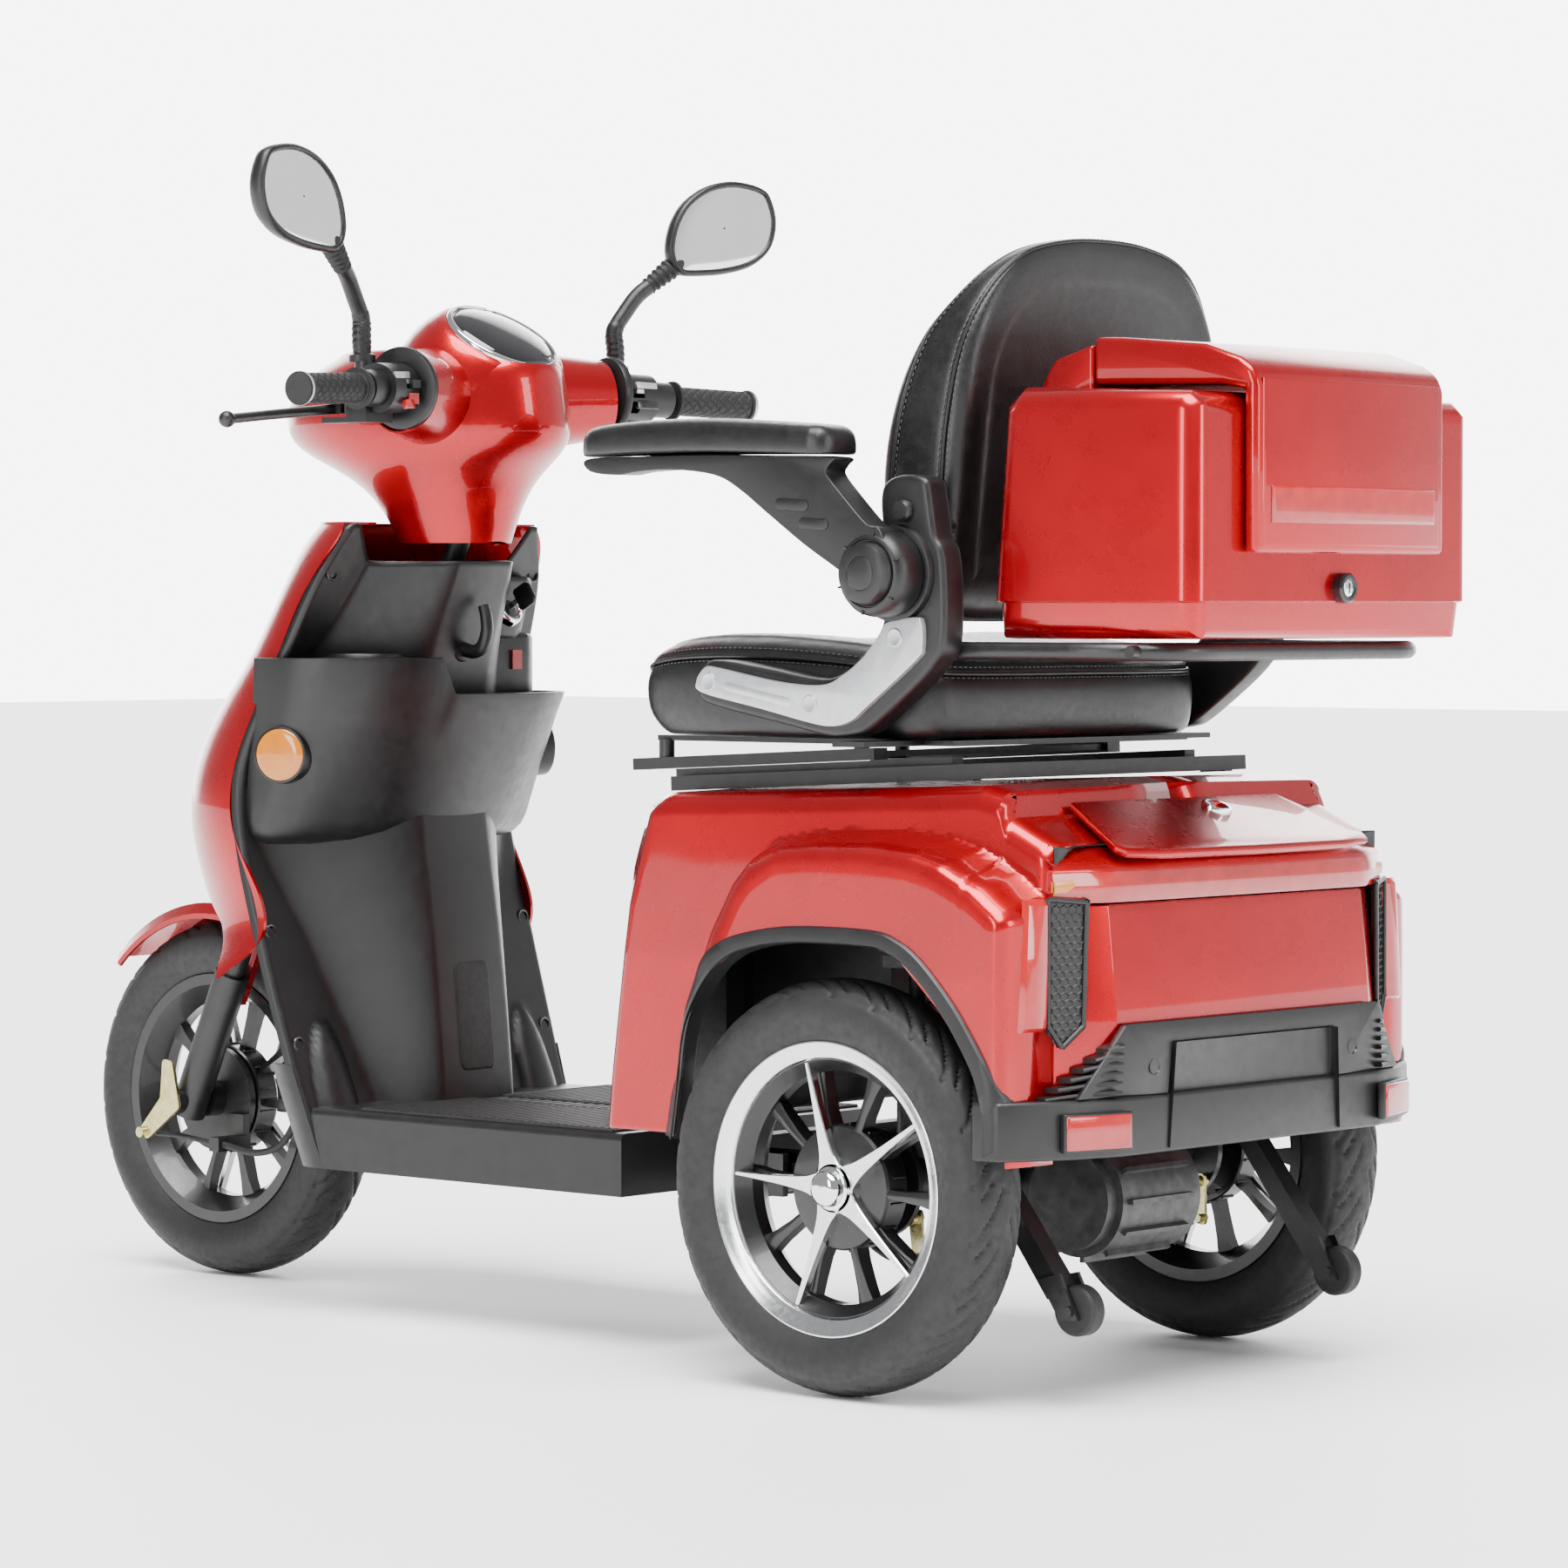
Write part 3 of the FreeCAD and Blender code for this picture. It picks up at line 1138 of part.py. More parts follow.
# ---- build ----------------------------------------------------------------------------------------
def build():
    for side, name in ((1, "left"), (-1, "right")):
        t, r = rear_wheel(side)
        save(f"rear_tyre_{name}", t)
        save(f"rear_rim_{name}", r)
        save(f"roller_{name}", roller(side))
        save(f"arm_{name}", arm(side))
        save(f"arm_pad_{name}", arm_pad(side))
        save(f"brake_lever_{name}", brake_lever(side))
        save(f"mirror_head_{name}", mirror_head(side))
    t, r = front_wheel()
    save("front_tyre", t)
    save("front_rim", r)
    save("left_grip", grip(1, BAR_R))
    save("throttle_grip", grip(-1, BAR_R + RUN))
    makers = (
        drive_unit, motor, rear_brake_cables, rear_brake_arms, shock_absorbers, fork_sliders, front_brake_arm,
        front_brake_cable, front_fender, steering_stem, handlebar, head_cover, headlight, instrument, switch_pods,
        mirror_stems, turn_slider, horn_button, front_apron, leg_shield, ignition_key, dash_rocker, footboard,
        rear_body, tail_hatch, tail_grilles, arch_trims, rear_bumper, tail_lights, reflectors, anti_tip_arms,
        power_pack, main_frame, seat_base_frame, seat_rails, seat_cushion, backrest, armrest_brackets,
        luggage_rack, box_base, box_lid, box_lock,
    )
    for maker in makers:
        save(maker.__name__, maker())


build()
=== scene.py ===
"""Mobility scooter: looks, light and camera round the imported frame. Metres, +X forward, +Y left, +Z up."""
import json
import math
import random
import bmesh
import bpy
from mathutils import Matrix, Vector, noise


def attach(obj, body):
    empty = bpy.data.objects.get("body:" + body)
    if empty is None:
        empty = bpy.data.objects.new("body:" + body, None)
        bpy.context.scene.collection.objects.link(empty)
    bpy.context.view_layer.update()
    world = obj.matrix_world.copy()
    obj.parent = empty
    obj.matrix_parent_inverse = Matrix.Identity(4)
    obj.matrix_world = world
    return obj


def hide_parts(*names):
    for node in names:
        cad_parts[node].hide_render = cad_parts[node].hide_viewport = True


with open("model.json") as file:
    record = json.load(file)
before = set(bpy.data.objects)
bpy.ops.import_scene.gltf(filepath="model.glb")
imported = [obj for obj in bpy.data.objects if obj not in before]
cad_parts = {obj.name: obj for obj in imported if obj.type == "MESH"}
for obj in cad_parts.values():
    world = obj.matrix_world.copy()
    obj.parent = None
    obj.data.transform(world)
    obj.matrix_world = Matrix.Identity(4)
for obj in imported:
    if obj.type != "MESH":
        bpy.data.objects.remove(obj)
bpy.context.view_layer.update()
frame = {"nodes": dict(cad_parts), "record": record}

random.seed(7)
nodes = frame["nodes"]
bodies = frame["record"]["behaviour"]["bodies"]
body_of_node = {n: b for b, members in bodies.items() for n in members}
X_MID = 0.4975                    # the rear axle lies this far behind the origin


# ---- materials ---------------------------------------------------------------------------
def new_material(name):
    mat = bpy.data.materials.new(name)
    mat.use_nodes = True
    return mat, mat.node_tree.nodes, mat.node_tree.links, mat.node_tree.nodes["Principled BSDF"]


def noise_node(nt, coord, scale, detail=3.0, rough=0.5):
    n = nt.nodes.new("ShaderNodeTexNoise")
    n.inputs["Scale"].default_value = scale
    n.inputs["Detail"].default_value = detail
    n.inputs["Roughness"].default_value = rough
    nt.links.new(coord, n.inputs["Vector"])
    return n.outputs["Fac"]


def ramp(nt, fac, low, high, c0, c1):
    r = nt.nodes.new("ShaderNodeMapRange")
    r.inputs["From Min"].default_value = low
    r.inputs["From Max"].default_value = high
    r.inputs["To Min"].default_value = c0
    r.inputs["To Max"].default_value = c1
    nt.links.new(fac, r.inputs["Value"])
    return r.outputs["Result"]


def mix_colour(nt, fac, a, b):
    m = nt.nodes.new("ShaderNodeMix")
    m.data_type = "RGBA"
    m.inputs["A"].default_value = (*a, 1)
    m.inputs["B"].default_value = (*b, 1)
    nt.links.new(fac, m.inputs["Factor"])
    return m.outputs["Result"]


def bump(nt, height, strength, distance, under=None):
    b = nt.nodes.new("ShaderNodeBump")
    b.inputs["Strength"].default_value = strength
    b.inputs["Distance"].default_value = distance
    nt.links.new(height, b.inputs["Height"])
    if under is not None:
        nt.links.new(under, b.inputs["Normal"])
    return b.outputs["Normal"]


def surface(name, a, b, rough, rough_spread=0.05, scale=60, grain=0.0, grain_scale=900, metal=0.0, coat=0.0,
            coat_rough=0.03, wave=0.0, spec=0.5):
    """A surface with large soft colour variation, uneven roughness and a fine grain."""
    mat, n, links, bsdf = new_material(name)
    nt = mat.node_tree
    coord = n.new("ShaderNodeTexCoord").outputs["Object"]
    cloud = noise_node(nt, coord, scale)
    links.new(mix_colour(nt, ramp(nt, cloud, 0.3, 0.7, 0, 1), a, b), bsdf.inputs["Base Color"])
    links.new(ramp(nt, noise_node(nt, coord, scale * 2.7, 5), 0.3, 0.7, rough - rough_spread, rough + rough_spread),
              bsdf.inputs["Roughness"])
    bsdf.inputs["Metallic"].default_value = metal
    bsdf.inputs["Coat Weight"].default_value = coat
    bsdf.inputs["Coat Roughness"].default_value = coat_rough
    bsdf.inputs["Specular IOR Level"].default_value = spec
    normal = None
    if grain:
        normal = bump(nt, noise_node(nt, coord, grain_scale, 4, 0.6), grain, 0.0004)
    if wave:
        normal = bump(nt, noise_node(nt, coord, 14, 1), wave, 0.002, normal)
    if normal is not None:
        links.new(normal, bsdf.inputs["Normal"])
    return mat


def paint():
    """Metallic red under a clear coat: fine flakes below, a slow waviness in the coat."""
    mat = surface("red_paint", (0.44, 0.0002, 0.006), (0.38, 0.0001, 0.005), 0.28, 0.03, 9, 0, metal=0.7, coat=0.7, spec=0.15)
    nt = mat.node_tree
    n, links = nt.nodes, nt.links
    bsdf = n["Principled BSDF"]
    coord = n.new("ShaderNodeTexCoord").outputs["Object"]
    flake = n.new("ShaderNodeTexVoronoi")
    flake.inputs["Scale"].default_value = 2600
    links.new(coord, flake.inputs["Vector"])
    links.new(bump(nt, flake.outputs["Color"], 0.10, 0.0002), bsdf.inputs["Normal"])
    links.new(bump(nt, noise_node(nt, coord, 10, 1), 0.02, 0.004), bsdf.inputs["Coat Normal"])
    return mat


def leather():
    mat = surface("leather", (0.0035, 0.0035, 0.004), (0.006, 0.006, 0.0065), 0.36, 0.07, 40, spec=0.5)
    nt = mat.node_tree
    n, links = nt.nodes, nt.links
    coord = n.new("ShaderNodeTexCoord").outputs["Object"]
    cells = n.new("ShaderNodeTexVoronoi")
    cells.feature = "DISTANCE_TO_EDGE"
    cells.inputs["Scale"].default_value = 620
    links.new(coord, cells.inputs["Vector"])
    pores = bump(nt, cells.outputs["Distance"], 0.35, 0.0006)
    links.new(bump(nt, noise_node(nt, coord, 26, 5, 0.6), 0.25, 0.003, pores), n["Principled BSDF"].inputs["Normal"])
    return mat


M = {
    "red_paint": paint(),
    "black_plastic": surface("black_plastic", (0.0035, 0.0035, 0.004), (0.006, 0.006, 0.0065), 0.40, 0.06, 30, 0.35, 1500),
    "black_gloss": surface("black_gloss", (0.008, 0.008, 0.009), (0.013, 0.013, 0.014), 0.2, 0.05, 30, 0, coat=0.3),
    "black_steel": surface("black_steel", (0.007, 0.007, 0.0075), (0.012, 0.012, 0.0125), 0.36, 0.08, 50, 0.3, 700),
    "tyre": surface("tyre", (0.005, 0.005, 0.0055), (0.009, 0.009, 0.0095), 0.62, 0.08, 45, 0.4, 500),
    "rim": surface("rim", (0.004, 0.004, 0.0045), (0.007, 0.007, 0.0075), 0.33, 0.05, 60, 0.15, 600, coat=0.2),
    "machined": surface("machined", (0.72, 0.73, 0.75), (0.80, 0.81, 0.83), 0.2, 0.05, 90, 0.1, 1200, metal=1.0),
    "bare_metal": surface("bare_metal", (0.05, 0.05, 0.052), (0.09, 0.09, 0.092), 0.48, 0.1, 60, 0.5, 420, metal=0.7),
    "zinc": surface("zinc", (0.56, 0.47, 0.16), (0.66, 0.62, 0.38), 0.32, 0.1, 120, 0.2, 500, metal=1.0),
    "rubber": surface("rubber", (0.004, 0.004, 0.004), (0.008, 0.008, 0.008), 0.6, 0.06, 60, 0.3, 800),
    "leather": leather(),
    "red_lens": surface("red_lens", (0.35, 0.004, 0.006), (0.45, 0.01, 0.01), 0.12, 0.03, 60, 0.2, 300, coat=0.8),
    "amber_lens": surface("amber_lens", (0.50, 0.145, 0.0), (0.58, 0.18, 0.0), 0.15, 0.03, 60, 0.2, 300, coat=0.8),
    "clear_lens": surface("clear_lens", (0.75, 0.76, 0.78), (0.85, 0.86, 0.88), 0.08, 0.02, 30, 0, coat=1.0),
    "dash": surface("dash", (0.006, 0.006, 0.007), (0.012, 0.012, 0.014), 0.08, 0.02, 20, 0, coat=1.0),
    "chrome": surface("chrome", (0.82, 0.83, 0.85), (0.88, 0.89, 0.9), 0.08, 0.03, 50, 0.05, 600, metal=1.0),
    "silver": surface("silver", (0.55, 0.56, 0.58), (0.62, 0.63, 0.65), 0.36, 0.05, 70, 0.15, 1300, metal=0.75),
    "thread": surface("thread", (0.05, 0.05, 0.052), (0.085, 0.085, 0.088), 0.6, 0.08, 200, 0.3, 2500),
    "mirror_glass": surface("mirror_glass", (0.90, 0.91, 0.92), (0.94, 0.95, 0.96), 0.05, 0.02, 12, metal=1.0),
    "conduit": surface("conduit", (0.16, 0.06, 0.02), (0.24, 0.10, 0.04), 0.5, 0.08, 80, 0.2, 600),
}


def dress(node, mat):
    o = nodes[node]
    o.data.materials.clear()
    o.data.materials.append(mat)


for entry in frame["record"]["subparts"]:
    slot = entry["material_slot"]
    dress(entry["node"], M[slot])
    for p in nodes[entry["node"]].data.polygons:
        p.use_smooth = True
    angle = nodes[entry["node"]].modifiers.new("smooth", "EDGE_SPLIT")
    angle.split_angle = math.radians(32)


# ---- mesh helpers ----------------------------------------------------------------------------
def link(name, mesh, mat, body, smooth=True, angle=35):
    """A new piece from a mesh, shaded smooth up to an angle, riding on a body."""
    o = bpy.data.objects.new(name, mesh)
    bpy.context.scene.collection.objects.link(o)
    for m in mat if isinstance(mat, (list, tuple)) else [mat]:
        mesh.materials.append(m)
    for p in mesh.polygons:
        p.use_smooth = smooth
    if smooth and angle:
        mesh.set_sharp_from_angle(angle=math.radians(angle))
    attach(o, body)
    return o


def mesh_of(name, verts, faces):
    mesh = bpy.data.meshes.new(name)
    mesh.from_pydata([tuple(v) for v in verts], [], faces)
    mesh.validate()
    bm = bmesh.new()
    bm.from_mesh(mesh)
    bmesh.ops.recalc_face_normals(bm, faces=bm.faces)
    bm.to_mesh(mesh)
    bm.free()
    return mesh


def grid(name, rows, close_u=False, close_v=False, caps=False):
    """A skin over rows of points. close_u joins each row's ends, close_v joins the last row to the first."""
    n, m = len(rows), len(rows[0])
    verts = [p for row in rows for p in row]
    faces = []
    for i in range(n if close_v else n - 1):
        for j in range(m if close_u else m - 1):
            a, b = i * m + j, i * m + (j + 1) % m
            c, d = ((i + 1) % n) * m + (j + 1) % m, ((i + 1) % n) * m + j
            faces.append((a, b, c, d))
    if caps:
        faces.append(tuple(range(m))[::-1])
        faces.append(tuple((n - 1) * m + j for j in range(m)))
    return mesh_of(name, verts, faces)


def spin(name, profile, centre, steps=96, a0=0.0, a1=360.0):
    """Turns an open or closed (y, r) profile about a line along Y through centre."""
    full = a1 - a0 >= 360
    rows = []
    for i in range(steps if full else steps + 1):
        a = math.radians(a0 + (a1 - a0) * i / steps)
        rows.append([(centre[0] + r * math.cos(a), centre[1] + y, centre[2] + r * math.sin(a)) for y, r in profile])
    return grid(name, rows, close_v=full)


def tube_rows(points, radius, sides=16):
    """Rings round a path; radius is a number or one per point."""
    pts = [Vector(p) for p in points]
    rows = []
    side = None
    for i, p in enumerate(pts):
        way = (pts[min(i + 1, len(pts) - 1)] - pts[max(i - 1, 0)]).normalized()
        if side is None:
            side = way.orthogonal().normalized()
        side = (side - way * side.dot(way)).normalized()
        up = way.cross(side)
        r = radius[i] if isinstance(radius, (list, tuple)) else radius
        rows.append([p + (side * math.cos(t) + up * math.sin(t)) * r for t in [2 * math.pi * k / sides for k in range(sides)]])
    return rows


def smooth_path(points, steps=10):
    """Catmull-Rom points through the given ones."""
    pts = [Vector(p) for p in points]
    pts = [pts[0] * 2 - pts[1]] + pts + [pts[-1] * 2 - pts[-2]]
    out = []
    for a, b, c, d in zip(pts, pts[1:], pts[2:], pts[3:]):
        for k in range(steps):
            t = k / steps
            out.append(0.5 * ((2 * b) + (c - a) * t + (2 * a - 5 * b + 4 * c - d) * t * t + (3 * b - a - 3 * c + d) * t ** 3))
    out.append(pts[-2])
    return out


def prism(name, outline, y0, y1, bevel=0.0, segments=3, plane="xz"):
    """An extruded outline in one of the planes, its edges rounded."""
    def at(u, v, w):
        return {"xz": (u, w, v), "xy": (u, v, w), "yz": (w, u, v)}[plane]
    n = len(outline)
    verts = [at(u, v, y0) for u, v in outline] + [at(u, v, y1) for u, v in outline]
    faces = [tuple(range(n)), tuple(range(n, 2 * n))] + [(i, (i + 1) % n, n + (i + 1) % n, n + i) for i in range(n)]
    mesh = mesh_of(name, verts, faces)
    if bevel:
        bevel_mesh(mesh, bevel, segments)
    return mesh


def bevel_mesh(mesh, width, segments=3, angle=25):
    bm = bmesh.new()
    bm.from_mesh(mesh)
    edges = [e for e in bm.edges if len(e.link_faces) == 2 and e.calc_face_angle(0) > math.radians(angle)]
    bmesh.ops.bevel(bm, geom=edges, offset=width, segments=segments, profile=0.5, affect="EDGES", clamp_overlap=True)
    bm.to_mesh(mesh)
    bm.free()


def apply_mods(o):
    dg = bpy.context.evaluated_depsgraph_get()
    mesh = bpy.data.meshes.new_from_object(o.evaluated_get(dg))
    o.modifiers.clear()
    o.data = mesh


def subdivide(o, levels=2):
    m = o.modifiers.new("round", "SUBSURF")
    m.levels = m.render_levels = levels


def joined(name, meshes):
    """One mesh from several."""
    bm = bmesh.new()
    for mesh in meshes:
        bm.from_mesh(mesh)
    out = bpy.data.meshes.new(name)
    bm.to_mesh(out)
    bm.free()
    return out


def rotated(mesh, centre, degrees, axis="Y"):
    c = Vector(centre)
    mesh.transform(Matrix.Translation(c) @ Matrix.Rotation(math.radians(degrees), 4, axis) @ Matrix.Translation(-c))
    return mesh


def shifted(mesh, offset):
    mesh.transform(Matrix.Translation(offset))
    return mesh


def mirrored(mesh):
    out = mesh.copy()
    out.transform(Matrix.Scale(-1, 4, (0, 1, 0)))
    out.flip_normals()
    return out


def P(x, y, z):
    """Millimetres from the rear axle's ground point to metres in the row frame."""
    return Vector((x / 1000 - X_MID, y / 1000, z / 1000))


# ---- wheels ------------------------------------------------------------------------------------
def interpolate(profile, count):
    """Evenly spaced points on a polyline of (y, r)."""
    lengths = [0.0]
    for (y0, r0), (y1, r1) in zip(profile, profile[1:]):
        lengths.append(lengths[-1] + math.hypot(y1 - y0, r1 - r0))
    out, k = [], 0
    for i in range(count):
        s = lengths[-1] * i / (count - 1)
        while k < len(lengths) - 2 and s > lengths[k + 1]:
            k += 1
        t = (s - lengths[k]) / (lengths[k + 1] - lengths[k])
        out.append((profile[k][0] + (profile[k + 1][0] - profile[k][0]) * t,
                    profile[k][1] + (profile[k + 1][1] - profile[k][1]) * t))
    return out


TREAD_PITCHES = 22


def groove(angle, s):
    """Depth 0..1 of the tread at an angle, s from -1 to 1 across the crown; arrow-shaped sweeping grooves."""
    if abs(s) > 1.18:
        return 0.0
    side = 0.5 if s > 0 else 0.0
    a = abs(s)
    phase = angle / (2 * math.pi) * TREAD_PITCHES + side
    depth = 0.0
    for lead, start, stop, width in ((1.15 * a ** 0.8, 0.10, 1.16, 0.055), (0.5 + 1.05 * a ** 0.8, 0.42, 1.0, 0.045)):
        if start < a < stop:
            d = abs((phase - lead + 0.5) % 1.0 - 0.5)
            fade = min(1.0, (a - start) / 0.08, (stop - a) / 0.08)
            depth = max(depth, fade * max(0.0, min(1.0, (width * 1.5 - d) / (width * 0.6))))
    return depth


def tyre_piece(node, centre, around=660, flip=1):
    crown = [(34, 190.5), (31.5, 195), (26, 198.8), (18, 202), (9, 204.2), (0, 204.9)]
    wall = [(24, 141), (29, 143), (32.5, 146), (36.5, 154), (39.6, 163), (40.8, 171), (40.2, 179), (37.6, 186.5)]
    half = smooth_2d(wall + crown, 6)
    left = interpolate([(y, r) for y, r in half], 34)
    profile = left + [(-y, r) for y, r in left[-2::-1]]
    rows = []
    for i in range(around):
        a = 2 * math.pi * i / around
        row = []
        for y, r in profile:
            s = y / 31.0
            depth = 2.6 * groove(a * flip, s) if r > 184 else 0.0
            if 150 < r < 152 or 176 < r < 177.4:
                depth = -0.5
            rr = r - depth
            row.append((centre[0] + rr / 1000 * math.cos(a), centre[1] + y / 1000, centre[2] + rr / 1000 * math.sin(a)))
        rows.append(row)
    inner = [(-20, 139), (-24, 141)]
    mesh = grid(node + "_look", rows, close_v=True)
    o = link(node + "_look", mesh, M["tyre"], body_of_node[node], angle=50)
    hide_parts(node)
    return o


def smooth_2d(points, steps):
    return [(p.x, p.y) for p in smooth_path([(u, v, 0) for u, v in points], steps)]


def star_arm(length, hub):
    """Half outline of one machined arm: wide at the hub, thin at the rim."""
    return [(hub * 0.72, hub * 0.52), (hub * 0.95, 11.5), (hub * 1.3, 8.6), (52, 6.4), (76, 4.4), (104, 3.0), (length, 2.2)]


def rim_piece(node, centre, side, bore_cap, first=75.0):
    """Cast rim: black barrel and paddles, polished lip, machined five-arm star, chrome dome nut."""
    c = Vector(centre)
    out = side / 1000
    meshes, black = [], []
    y = lambda v: v * out
    barrel = spin("barrel", [(y(-33), 0.1435), (y(-31), 0.1445), (y(-29.5), 0.143), (y(-28), 0.134), (y(-24), 0.1285), (y(-8), 0.118), (y(8), 0.118),
                             (y(22), 0.1285), (y(22), 0.1255), (y(8), 0.1145), (y(-8), 0.1145), (y(-26), 0.126), (y(-33), 0.131), (y(-33), 0.1435)], c, 128)
    black.append(barrel)
    drum = spin("drum", [(y(-22), 0.055), (y(-22), 0.0605), (y(-20), 0.062), (y(6), 0.062), (y(9), 0.060), (y(12), 0.048), (y(13), 0.03),
                         (y(16), 0.026), (y(16), 0.012), (y(-2), 0.012), (y(-2), 0.055), (y(-22), 0.055)], c, 96)
    black.append(drum)
    for k in range(15):
        rib = prism("rib", [(0.0600, -0.0012), (0.0640, -0.0012), (0.0640, 0.0012), (0.0600, 0.0012)], y(-18), y(2), 0.0006, 1)
        shifted(rib, c)
        black.append(rotated(rib, c, 24 * k))
    for k in range(10):
        wide = 1.0 if k % 2 else 0.62
        ring = []
        for r, half, y0, y1 in ((0.050, 0.0050, -12, 9), (0.075, 0.0046 * wide, -11, 8), (0.100, 0.0066 * wide, -11, 6), (0.119, 0.0105 * wide, -10, 5)):
            ring.append([(r, y(y0), -half), (r, y(y0), half), (r, y(y1 - 2), half), (r, y(y1), half * 0.3), (r, y(y1), -half * 0.3), (r, y(y1 - 2), -half)])
        paddle = grid("paddle", [[c + Vector(p) for p in row] for row in ring], close_u=True, caps=True)
        black.append(rotated(paddle, c, -(first - 72 * (k // 2) - 36 * (k % 2))))
    body = joined(node + "_black", black)
    o = link(node + "_look", body, M["rim"], body_of_node[node], angle=30)
    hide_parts(node)
    lip = spin("lip", [(y(20), 0.1262), (y(23), 0.1268), (y(25.5), 0.1285), (y(26.5), 0.1310), (y(27.5), 0.1340), (y(30), 0.1375), (y(32), 0.1415),
                       (y(33), 0.1432), (y(32.6), 0.1446), (y(31), 0.145), (y(29.6), 0.144)], c, 160)
    shine = [lip]
    length = 127.0
    half = star_arm(length, 27)
    for k in range(5):
        line = smooth_2d(half, 5)
        top, low, base = [], [], []
        def section(r, w):
            drop = 0.0 if r < 30 else (r - 30) / 97 * -1.0
            face = (20 if r < 32 else 20 + (r - 32) * 0.028) + drop
            return [(r / 1000, y(face - 9), -w / 1000), (r / 1000, y(face - 1.2), -w / 1000), (r / 1000, y(face), -max(w - 1.0, 0.6) / 1000),
                    (r / 1000, y(face), max(w - 1.0, 0.6) / 1000), (r / 1000, y(face - 1.2), w / 1000), (r / 1000, y(face - 9), w / 1000)]
        rows = [[c + Vector(p) for p in section(r, w)] for r, w in line]
        arm = grid("arm", rows, close_u=True, caps=True)
        shine.append(rotated(arm, c, -(first - 72 * k)))
    hub = spin("hub", [(y(8), 0.025), (y(18.8), 0.025), (y(20.0), 0.0238), (y(20.0), 0.012)], c, 80)
    shine.append(hub)
    o2 = link(node + "_star", joined(node + "_star", shine), M["machined"], body_of_node[node], angle=28)
    cap = [(y(19), 0.0215), (y(22.5), 0.0215), (y(23.5), 0.0205), (y(24), 0.0185), (y(30), 0.0180), (y(33.5), 0.0165), (y(36), 0.0125), (y(37.2), 0.0075), (y(37.4), 0.0)] \
        if bore_cap else [(y(16), 0.016), (y(24), 0.016), (y(25), 0.014), (y(25), 0.009)]
    o3 = link(node + "_cap", spin("cap", cap, c, 72), M["chrome"], body_of_node[node], angle=40)
    return o


tyre_piece("rear_tyre_left", P(0, 294.5, 205))
tyre_piece("rear_tyre_right", P(0, -294.5, 205))
tyre_piece("front_tyre", P(1184, 0, 205))
rim_piece("rear_rim_left", P(0, 294.5, 205), 1, True)
rim_piece("rear_rim_right", P(0, -294.5, 205), -1, True)
rim_piece("front_rim", P(1184, 0, 205), -1, False)


# ---- rear body ----------------------------------------------------------------------------------
BODY_FRONT = [(232, 352), (300, 345), (470, 322), (562, 296), (584, 276)]       # height, X of the front edge
FENDER = [(250, 215), (236, 300), (214, 380), (176, 460), (140, 512), (112, 536), (70, 546), (22, 551), (-50, 552), (-112, 547),
          (-150, 537), (-196, 514), (-224, 494), (-240, 478), (-240, 215)]
ARCH = [(236, 200), (222, 300), (150, 408), (104, 436), (35, 446), (-62, 446), (-98, 436), (-150, 388), (-208, 318), (-226, 280), (-226, 200)]


def lerp_table(table, v):
    """Linear interpolation in (key, value) pairs sorted by key."""
    if v <= table[0][0]:
        return table[0][1]
    for (a, fa), (b, fb) in zip(table, table[1:]):
        if v <= b:
            return fa + (fb - fa) * (v - a) / (b - a)
    return table[-1][1]


def smooth_table(table, v):
    """Catmull-Rom interpolation in (key, value) pairs sorted by key."""
    n = len(table)
    v = min(max(v, table[0][0]), table[-1][0])
    k = 0
    while k < n - 2 and v > table[k + 1][0]:
        k += 1
    (x0, y0), (x1, y1) = table[k], table[k + 1]
    before = table[k - 1] if k else (2 * x0 - x1, 2 * y0 - y1)
    after = table[k + 2] if k + 2 < n else (2 * x1 - x0, 2 * y1 - y0)
    m0 = (y1 - before[1]) / (x1 - before[0])
    m1 = (after[1] - y0) / (after[0] - x0)
    h, t = x1 - x0, (v - x0) / (x1 - x0)
    return ((2 * t ** 3 - 3 * t * t + 1) * y0 + (t ** 3 - 2 * t * t + t) * h * m0
            + (-2 * t ** 3 + 3 * t * t) * y1 + (t ** 3 - t * t) * h * m1)


def nearest_on(poly, x, z):
    best, at = 1e9, None
    for (x0, z0), (x1, z1) in zip(poly, poly[1:] + poly[:1]):
        dx, dz = x1 - x0, z1 - z0
        t = max(0.0, min(1.0, ((x - x0) * dx + (z - z0) * dz) / (dx * dx + dz * dz)))
        d = math.hypot(x - x0 - dx * t, z - z0 - dz * t)
        if d < best:
            best, at = d, (x0 + dx * t, z0 + dz * t)
    return best, at


def inside(poly, x, z):
    hit = False
    for (x0, z0), (x1, z1) in zip(poly, poly[1:] + poly[:1]):
        if (z0 > z) != (z1 > z) and x < (x1 - x0) * (z - z0) / (z1 - z0) + x0:
            hit = not hit
    return hit


def body_top(x):
    return lerp_table([(-260, 531), (-252, 534), (-176, 570), (-168, 594), (-140, 600), (276, 584), (360, 580)], x)


